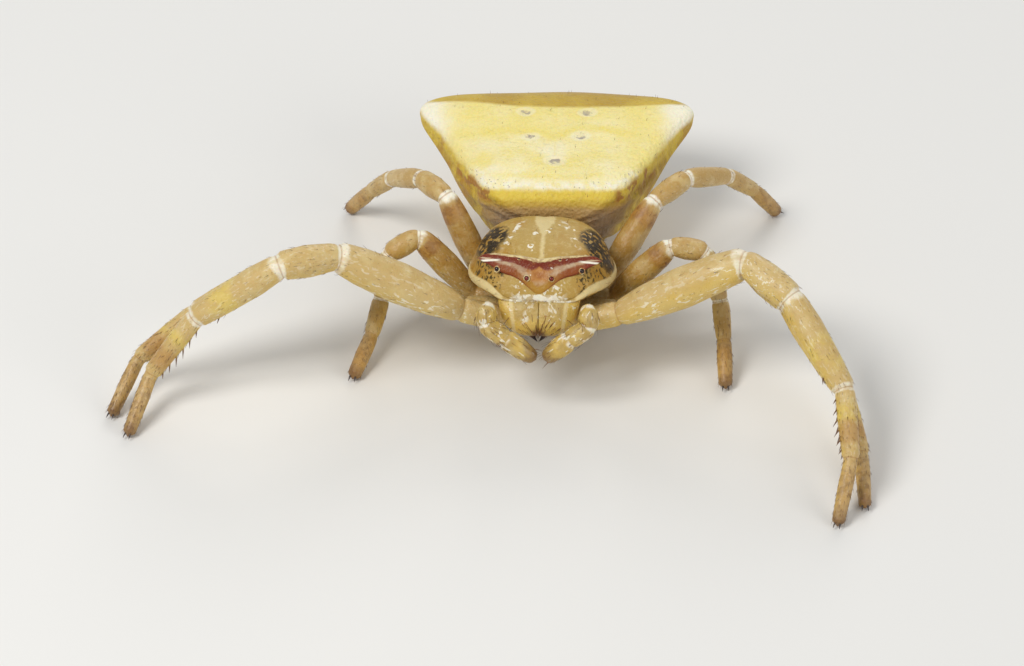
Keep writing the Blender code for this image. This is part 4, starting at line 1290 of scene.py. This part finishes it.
class SPIDER_OT_jaws(SpiderOperator):
    """Adds the two jaws with their fangs."""

    bl_idname = "spider.jaws"
    bl_label = "Jaws"

    def make(self, sizes, colours):
        skin = jaw_finish(colours)
        roots, aims = [], []
        for side, sign in SIDES.items():
            grid, place = jaw_grid(sign)
            shape = closed_shape(to_world(grid), place)
            make_piece(f"jaw_{side}", shape, skin, (f"chelicera_{side}",))
            root, tip = (to_world(mirrored(point, sign)) for point in (FANG_ROOT, FANG_TIP))
            roots.append(root)
            aims.append(tip - root)
        roots, aims = np.array(roots), np.array(aims)
        lengths = np.linalg.norm(aims, axis=1)
        bends = np.array([BODY_TURN @ np.array((0.0, 0.05, -0.03))] * 2)
        fangs = thorns(roots, unit(aims), lengths, np.full(2, 0.075), bends, 16, 10, 0.10)
        horn = spine_finish("fang_finish", colours.brown, colours.eye)
        make_piece("fangs", fangs, horn)


def palp_limb(sign):
    """A palp's limb through its joints, with its tip swung aside."""
    joints = mirrored(PALP_JOINTS, sign)
    joints[-1, 0] += PALP_SWING
    joints = to_world(joints)
    return Limb(joints, PALP_RADII, PALP_SHAPES, 0.025, 0.10, 0.05, (0.0, -1.0, 0.3))


class SPIDER_OT_palps(SpiderOperator):
    """Adds the two palps, which bend down before the jaws."""

    bl_idname = "spider.palps"
    bl_label = "Palps"

    def make(self, sizes, colours):
        skin = palp_finish(colours)
        for side, sign in SIDES.items():
            grid, place = palp_limb(sign).surface(40)
            replaced = (f"palp_{side}_upper", f"palp_{side}_lower")
            make_piece(f"palp_{side}", closed_shape(grid, place), skin, replaced)


def abdomen_shape(relief):
    """The abdomen's spline surface, with folds along its flanks, creases across its front corners and
    dimples on its back. The folds are a sine of the place round the ring, swayed by the place along."""
    half = []
    for y_top, y_low, edge, edge_z, middle_z, flank, flank_z, belly, belly_z in ABDOMEN_ROWS:
        inner = ABDOMEN_INNER_SHARE
        half.append((
            (0.0, y_top, middle_z),
            (edge * inner, y_top, middle_z + (edge_z - middle_z) * inner),
            (edge, y_top, edge_z),
            (flank, (y_top + y_low) / 2, flank_z),
            (belly, y_low, belly_z),
            (0.0, y_low, belly_z - 0.08),
        ))
    grid, v, u = spline_surface(mirror_rows(half), 220, 260)
    ring = np.minimum(u, 10.0 - u)
    normals = grid_normals(grid)
    if (normals[110, 0] @ (0.0, 0.0, 1.0)) < 0.0:
        normals = -normals
    x, y = grid[..., 0], grid[..., 1]
    open_part = smooth(v, -1.2, 0.2) * smooth(v, 9.2, 7.6)
    flank = smooth(ring, 2.05, 2.6) * smooth(ring, 4.6, 3.8)
    folds = np.sin(ring * 13.0 + 1.2 * np.sin(y * 1.3) + 0.5 * np.sin(y * 3.1 + np.abs(x)))
    corner = bell(ring, 2.3, 0.5) * smooth(y, 4.6, 2.6) * np.sin(y * 9.0 + np.abs(x) * 3.0)
    plateau = smooth(ring, 1.9, 1.2) * 0.45
    waves = np.sin(y * 2.8 + 0.8 * np.sin(x * 1.1)) * plateau + 0.4 * np.sin(x * 2.3 + y) * plateau
    rise = relief * (folds * flank + 0.7 * corner + waves) * open_part
    rim = 0.04 * bell(ring, 1.85, 0.30) * open_part
    for across, along, size in DIMPLES:
        deep = bell(np.hypot(np.abs(x) - across, y - along), 0.0, size * 1.3) * smooth(ring, 2.0, 1.5)
        rise = rise - 0.035 * deep
    grid = grid + normals * (rise + rim)[..., None]
    edge = grid[:, EDGE_COLUMN]
    level = np.interp(np.clip(y, BACK_FROM, BACK_TO), edge[:, 1], edge[:, 2])
    place = np.stack((x, y, level - grid[..., 2]), axis=-1)
    world = abdomen_to_world(grid)
    return closed_shape(world, place), world, normals @ ABDOMEN_TURN.T @ BODY_TURN.T


class SPIDER_OT_abdomen(SpiderOperator):
    """Adds the skin of the abdomen."""

    bl_idname = "spider.abdomen"
    bl_label = "Abdomen"

    def make(self, sizes, colours):
        shape, _, _ = abdomen_shape(sizes.relief / MM)
        make_piece("abdomen_skin", shape, abdomen_finish(colours), ("abdomen",))


def plate_shape(centre, size, heart=0.0):
    """A flattened ball in the body frame, whose width is drawn in towards the rear like a heart's."""
    angle = np.linspace(0.04, np.pi - 0.04, 40)
    around = np.arange(64) * 2 * np.pi / 64
    a, b = np.meshgrid(angle, around, indexing="ij")
    x, y, z = np.sin(a) * np.cos(b), -np.cos(a), np.sin(a) * np.sin(b)
    x = x * (1.0 - heart * np.clip(y, -1.0, 1.0) * 0.5)
    scallop = 1.0 + 0.04 * heart * np.cos(y * 11.0) * np.abs(np.cos(b))
    grid = np.stack((x * scallop, y, z), axis=-1) * np.array(size) + np.array(centre)
    return closed_shape(to_world(grid), np.zeros_like(grid))


class SPIDER_OT_underside(SpiderOperator):
    """Adds the breastplate, mouth parts, waist and spinnerets."""

    bl_idname = "spider.underside"
    bl_label = "Underside"

    def make(self, sizes, colours):
        skin = under_finish(colours)
        plates = [plate_shape(*BREASTPLATE), plate_shape(*LIP)]
        centre, size, heart = MOUTH_PART
        plates += [plate_shape(mirrored(centre, sign), size, heart) for sign in SIDES.values()]
        make_piece("breastplate", joined(plates), skin, ("sternum",))
        waist = Limb(to_world(WAIST_LINE), (WAIST_RADIUS,) * 2, WAIST_SHAPES, 0.04, 0.2, 0.08)
        grid, place = waist.surface(32)
        make_piece("waist", closed_shape(grid, place * 0.0), skin, ("pedicel",))
        tubes = []
        for x, z, size in SPINNERETS:
            for sign in SIDES.values():
                root = (sign * x, SPINNERET_ROOT, z + 0.1)
                tip = (sign * x * 0.9 - 0.02, SPINNERET_TIP, z)
                joints = to_world(np.array((root, tip)))
                grid, place = Limb(joints, (size,), SPINNERET_SHAPE, 0.02, 0.02, 0.05).surface(24)
                tubes.append(closed_shape(grid, place))
        tubes.append(plate_shape(*REAR_BUMP))
        make_piece("spinneret_tubes", joined(tubes), skin, ("spinnerets",))


# Bristles: seed of the draws, number on the upper and lower part of a long and of a short leg, where those
# parts start and end along it, radius on the legs and the body, and the corners of one bristle
BRISTLE_SEED = 7
LEG_BRISTLES = {True: (150, 230), False: (70, 110)}
BRISTLES_FROM = 1.1
BRISTLES_MIDDLE = 4.2
BRISTLES_TO = 5.95
LEG_HAIR = 0.0065
BODY_HAIR = 0.006
HAIR_SIDES = 3
HAIR_STEPS = 4
HAIR_TIP = 0.25
PATCH = 0.003
SUNK_ROOT = 0.01

LONG_NODES = ("coxa", "femur", "patella", "tibia", "metatarsus", "tarsus")
SHORT_NODES = ("coxa", "femur", "tibia", "foot")


class SPIDER_OT_legs(SpiderOperator):
    """Adds the eight legs, each with one skin from the breastplate to the foot."""

    bl_idname = "spider.legs"
    bl_label = "Legs"

    def make(self, sizes, colours):
        long_skin, short_skin = leg_finish(colours, True), leg_finish(colours, False)
        for number in LENGTHS:
            long_leg = number < 3
            for side in SIDES:
                limb = leg_limb(number, side, sizes.crease / MM)
                grid, place = limb.surface(44 if long_leg else 36)
                grid[..., 2] = np.maximum(grid[..., 2], 0.0)
                nodes = LONG_NODES if long_leg else SHORT_NODES
                make_piece(
                    f"leg_{number}_{side}_skin",
                    closed_shape(grid, place),
                    long_skin if long_leg else short_skin,
                    tuple(f"leg_{number}_{side}_{node}" for node in nodes),
                )


def spine_set(number, side, limb, size, base):
    """Pairs of spines on the inner side of a leg's tibia and metatarsus, leaning towards the foot."""
    joints = leg_joints(number, side)
    roots, aims, lengths = [], [], []
    for segment, (pairs, first, last) in SPINE_ROWS.items():
        along = np.repeat(segment + np.linspace(first, last, pairs), 2)
        start, end = joints[segment], joints[segment + 1]
        axis = unit(end - start)
        inner = (joints[1] + joints[6]) / 2 - (start + end) / 2
        inner = unit(inner - axis * (inner @ axis))
        sign = np.tile((1.0, -1.0), pairs)
        splay = np.radians(SPINE_SPLAY) * sign
        outward = inner * np.cos(splay)[:, None] + np.cross(axis, inner) * np.sin(splay)[:, None]
        centre = np.stack([np.interp(along, limb.along, limb.line[:, k]) for k in range(3)], axis=1)
        radius = np.interp(along, limb.along, limb.radius)[:, None]
        lean = np.radians(SPINE_LEAN)
        roots.append(centre + outward * radius * 0.88)
        aims.append(outward * np.sin(lean) + axis * np.cos(lean))
        lengths.append(size * (1.15 - 0.45 * np.abs(np.linspace(-1.0, 1.0, pairs))).repeat(2))
    roots, aims, lengths = np.concatenate(roots), np.concatenate(aims), np.concatenate(lengths)
    bends = -0.18 * lengths[:, None] * aims + 0.10 * lengths[:, None] * np.array((0.0, 0.0, -1.0))
    return thorns(roots, aims, lengths, np.full(len(roots), base), bends, 10, 8, 0.10)


def claw_set(limb, size):
    """Two claws at the foot that curve down to the floor."""
    heading = limb.heading[-3] * np.array((1.0, 1.0, 0.0))
    heading = unit(heading)
    across = np.cross(heading, (0.0, 0.0, 1.0))
    sign = np.array((1.0, -1.0))[:, None]
    tip = limb.line[-1] - limb.heading[-3] * 0.10
    roots = tip + across * sign * 0.055 + np.array((0.0, 0.0, 0.02))
    aims = unit(heading + across * sign * 0.15 + np.array((0.0, 0.0, 0.10)))
    bends = np.tile((0.0, 0.0, -0.6), (2, 1)) * size
    return thorns(roots, aims, np.full(2, size), np.full(2, 0.036), bends, 12, 10, 0.12)


class SPIDER_OT_spines(SpiderOperator):
    """Adds the spines under the long legs, and every claw."""

    bl_idname = "spider.spines"
    bl_label = "Spines and claws"

    def make(self, sizes, colours):
        spines, claws = [], []
        for number in LENGTHS:
            for side in SIDES:
                limb = leg_limb(number, side, sizes.crease / MM)
                if number < 3:
                    spines.append(spine_set(number, side, limb, sizes.spine / MM, sizes.spine_base / MM))
                claws.append(claw_set(limb, sizes.claw / MM))
        thorn = spine_finish("spine_finish", colours.beige, colours.brown)
        make_piece("leg_spines", joined(spines), thorn)
        claw = spine_finish("claw_finish", colours.russet, colours.eye)
        make_piece("claws", joined(claws), claw)


def leg_bristles(rng, limb, count, first, last, size):
    """Bristles strewn over a limb between two places along it. Each leaves the skin leaning to the tip and
    bends towards it, and its root has a patch on an unwrap of place along against angle."""
    along = rng.uniform(first, last, count)
    angle = rng.uniform(0.0, 2 * np.pi, count)
    roots, outward, heading = limb.at(along, angle)
    lengths = size * rng.uniform(0.55, 1.35, count)
    aims = unit(outward * rng.uniform(0.35, 0.8, count)[:, None] + heading)
    bends = heading * (0.30 * lengths)[:, None] - outward * (0.18 * lengths)[:, None]
    unwrap = np.stack((along / 7.0, angle / (2 * np.pi)), axis=1)
    return roots - outward * SUNK_ROOT, aims, lengths, bends, unwrap


def hair_shape(sets, radius):
    """Sets of bristles as one shape, and the corners of each one's patch: its place on the unwrap plus a
    little of its share from root to tip."""
    roots, aims, lengths, bends, unwrap = (np.concatenate([s[k] for s in sets]) for k in range(5))
    radii = np.full(len(roots), radius)
    fine = thorns(roots, aims, lengths, radii, bends, HAIR_SIDES, HAIR_STEPS, HAIR_TIP)
    return fine, np.repeat(unwrap, HAIR_SIDES * HAIR_STEPS, axis=0) + PATCH * fine.place[:, :2]


class SPIDER_OT_bristles(SpiderOperator):
    """Adds the fine bristles on the legs, palps, jaws and body."""

    bl_idname = "spider.bristles"
    bl_label = "Bristles"

    def make(self, sizes, colours):
        rng = np.random.default_rng(BRISTLE_SEED)
        size = sizes.bristle / MM
        sets = []
        for number in LENGTHS:
            for side in SIDES:
                limb = leg_limb(number, side, sizes.crease / MM)
                upper, lower = LEG_BRISTLES[number < 3]
                sets.append(leg_bristles(rng, limb, upper, BRISTLES_FROM, BRISTLES_MIDDLE, size * 0.50))
                sets.append(leg_bristles(rng, limb, lower, BRISTLES_MIDDLE, BRISTLES_TO, size * 0.45))
        for sign in SIDES.values():
            limb = palp_limb(sign)
            sets.append(leg_bristles(rng, limb, 110, 1.0, 3.95, size * 0.8))
        fine, patches = hair_shape(sets, LEG_HAIR)
        material = spine_finish("bristle_finish", colours.russet, colours.brown)
        make_piece("leg_bristles", fine, material, (), patches)
        body = [
            surface_bristles(rng, carapace_shape()[1:], 150, size * 0.8, (0.0, -1.0, 0.4)),
            surface_bristles(rng, abdomen_shape(sizes.relief / MM)[1:], 240, size * 0.32, (0.0, 1.0, 0.3)),
        ]
        fine, patches = hair_shape(body, BODY_HAIR)
        make_piece("body_bristles", fine, material, (), patches)
        make_piece("jaw_bristles", jaw_bristles(rng), material)


def surface_bristles(rng, surface, count, size, lie):
    """Bristles strewn over a grid surface, standing up and lying over to one side."""
    grid, normals = surface
    rows, columns = grid.shape[:2]
    row = rng.integers(rows // 10, rows * 9 // 10, count)
    column = rng.integers(0, columns, count)
    roots, outward = grid[row, column], normals[row, column]
    lie = BODY_TURN @ np.array(lie)
    lengths = size * rng.uniform(0.6, 1.4, count)
    aims = unit(outward + 0.5 * lie + rng.normal(0.0, 0.2, (count, 3)))
    bends = (lie * 0.35 - outward * 0.15) * lengths[:, None]
    unwrap = np.stack((row / rows, column / columns), axis=1)
    return roots - outward * SUNK_ROOT, aims, lengths, bends, unwrap


def jaw_bristles(rng):
    """Bristles on the front of the jaws, lying towards the joint of the fangs: each root is the point of a
    jaw's front nearest to a place some way from the joint at some angle. A few longer ones stand apart."""
    grid = np.concatenate([jaw_grid(sign)[0].reshape(-1, 3) for sign in SIDES.values()])
    front = grid[grid[:, 1] < JAW_FRONT]
    count = 46
    away, angle = rng.uniform(0.10, 0.62, count), np.radians(rng.uniform(8.0, 172.0, count))
    wanted = np.stack((away * np.cos(angle), FANG_JOINT[1] + away * np.sin(angle)), axis=1)
    wanted = np.concatenate((wanted, [place[:2] for place in LONG_BRISTLES]))
    gaps = np.linalg.norm(front[None, :, (0, 2)] - wanted[:, None], axis=-1)
    roots = front[gaps.argmin(axis=1)]
    lie = np.stack((-np.cos(angle), np.full(count, -0.45), -np.sin(angle)), axis=1)
    aims = unit(np.concatenate((lie, [place[2:] for place in LONG_BRISTLES])))
    lengths = np.concatenate((rng.uniform(0.10, 0.24, count), np.full(len(LONG_BRISTLES), 0.27)))
    bends = lengths[:, None] * np.array((0.0, 0.15, -0.25))
    radii = np.where(np.arange(len(roots)) < count, 0.0075, 0.010)
    return thorns(to_world(roots), aims @ BODY_TURN.T, lengths, radii, bends @ BODY_TURN.T, 5, 6, 0.2)


class SPIDER_PT_panel(bpy.types.Panel):
    """Lists the spider's pieces in the sidebar."""

    bl_idname = "SPIDER_PT_panel"
    bl_label = "Crab Spider"
    bl_space_type = "VIEW_3D"
    bl_region_type = "UI"
    bl_category = "Spider"

    def draw(self, context):
        for operator in OPERATORS:
            self.layout.operator(operator.bl_idname)
        for group in (context.scene.spider_sizes, context.scene.spider_colours):
            box = self.layout.box()
            for name in group.__annotations__:
                box.prop(group, name)


OPERATORS = (
    SPIDER_OT_stage,
    SPIDER_OT_carapace,
    SPIDER_OT_ridge,
    SPIDER_OT_eyes,
    SPIDER_OT_jaws,
    SPIDER_OT_palps,
    SPIDER_OT_abdomen,
    SPIDER_OT_underside,
    SPIDER_OT_legs,
    SPIDER_OT_spines,
    SPIDER_OT_bristles,
)
CLASSES = (SpiderSizes, SpiderColours, *OPERATORS, SPIDER_PT_panel)


def register():
    """Registers the classes and gives the scene its sizes and colours."""
    for item in CLASSES:
        bpy.utils.register_class(item)
    bpy.types.Scene.spider_sizes = bpy.props.PointerProperty(type=SpiderSizes)
    bpy.types.Scene.spider_colours = bpy.props.PointerProperty(type=SpiderColours)


def unregister():
    """Takes away what register adds."""
    del bpy.types.Scene.spider_colours
    del bpy.types.Scene.spider_sizes
    for item in reversed(CLASSES):
        bpy.utils.unregister_class(item)


def main():
    """Builds the spider."""
    register()
    bpy.ops.spider.stage()
    bpy.ops.spider.carapace()
    bpy.ops.spider.ridge()
    bpy.ops.spider.eyes()
    bpy.ops.spider.jaws()
    bpy.ops.spider.palps()
    bpy.ops.spider.abdomen()
    bpy.ops.spider.underside()
    bpy.ops.spider.legs()
    bpy.ops.spider.spines()
    bpy.ops.spider.bristles()


if __name__ == "__main__":
    main()
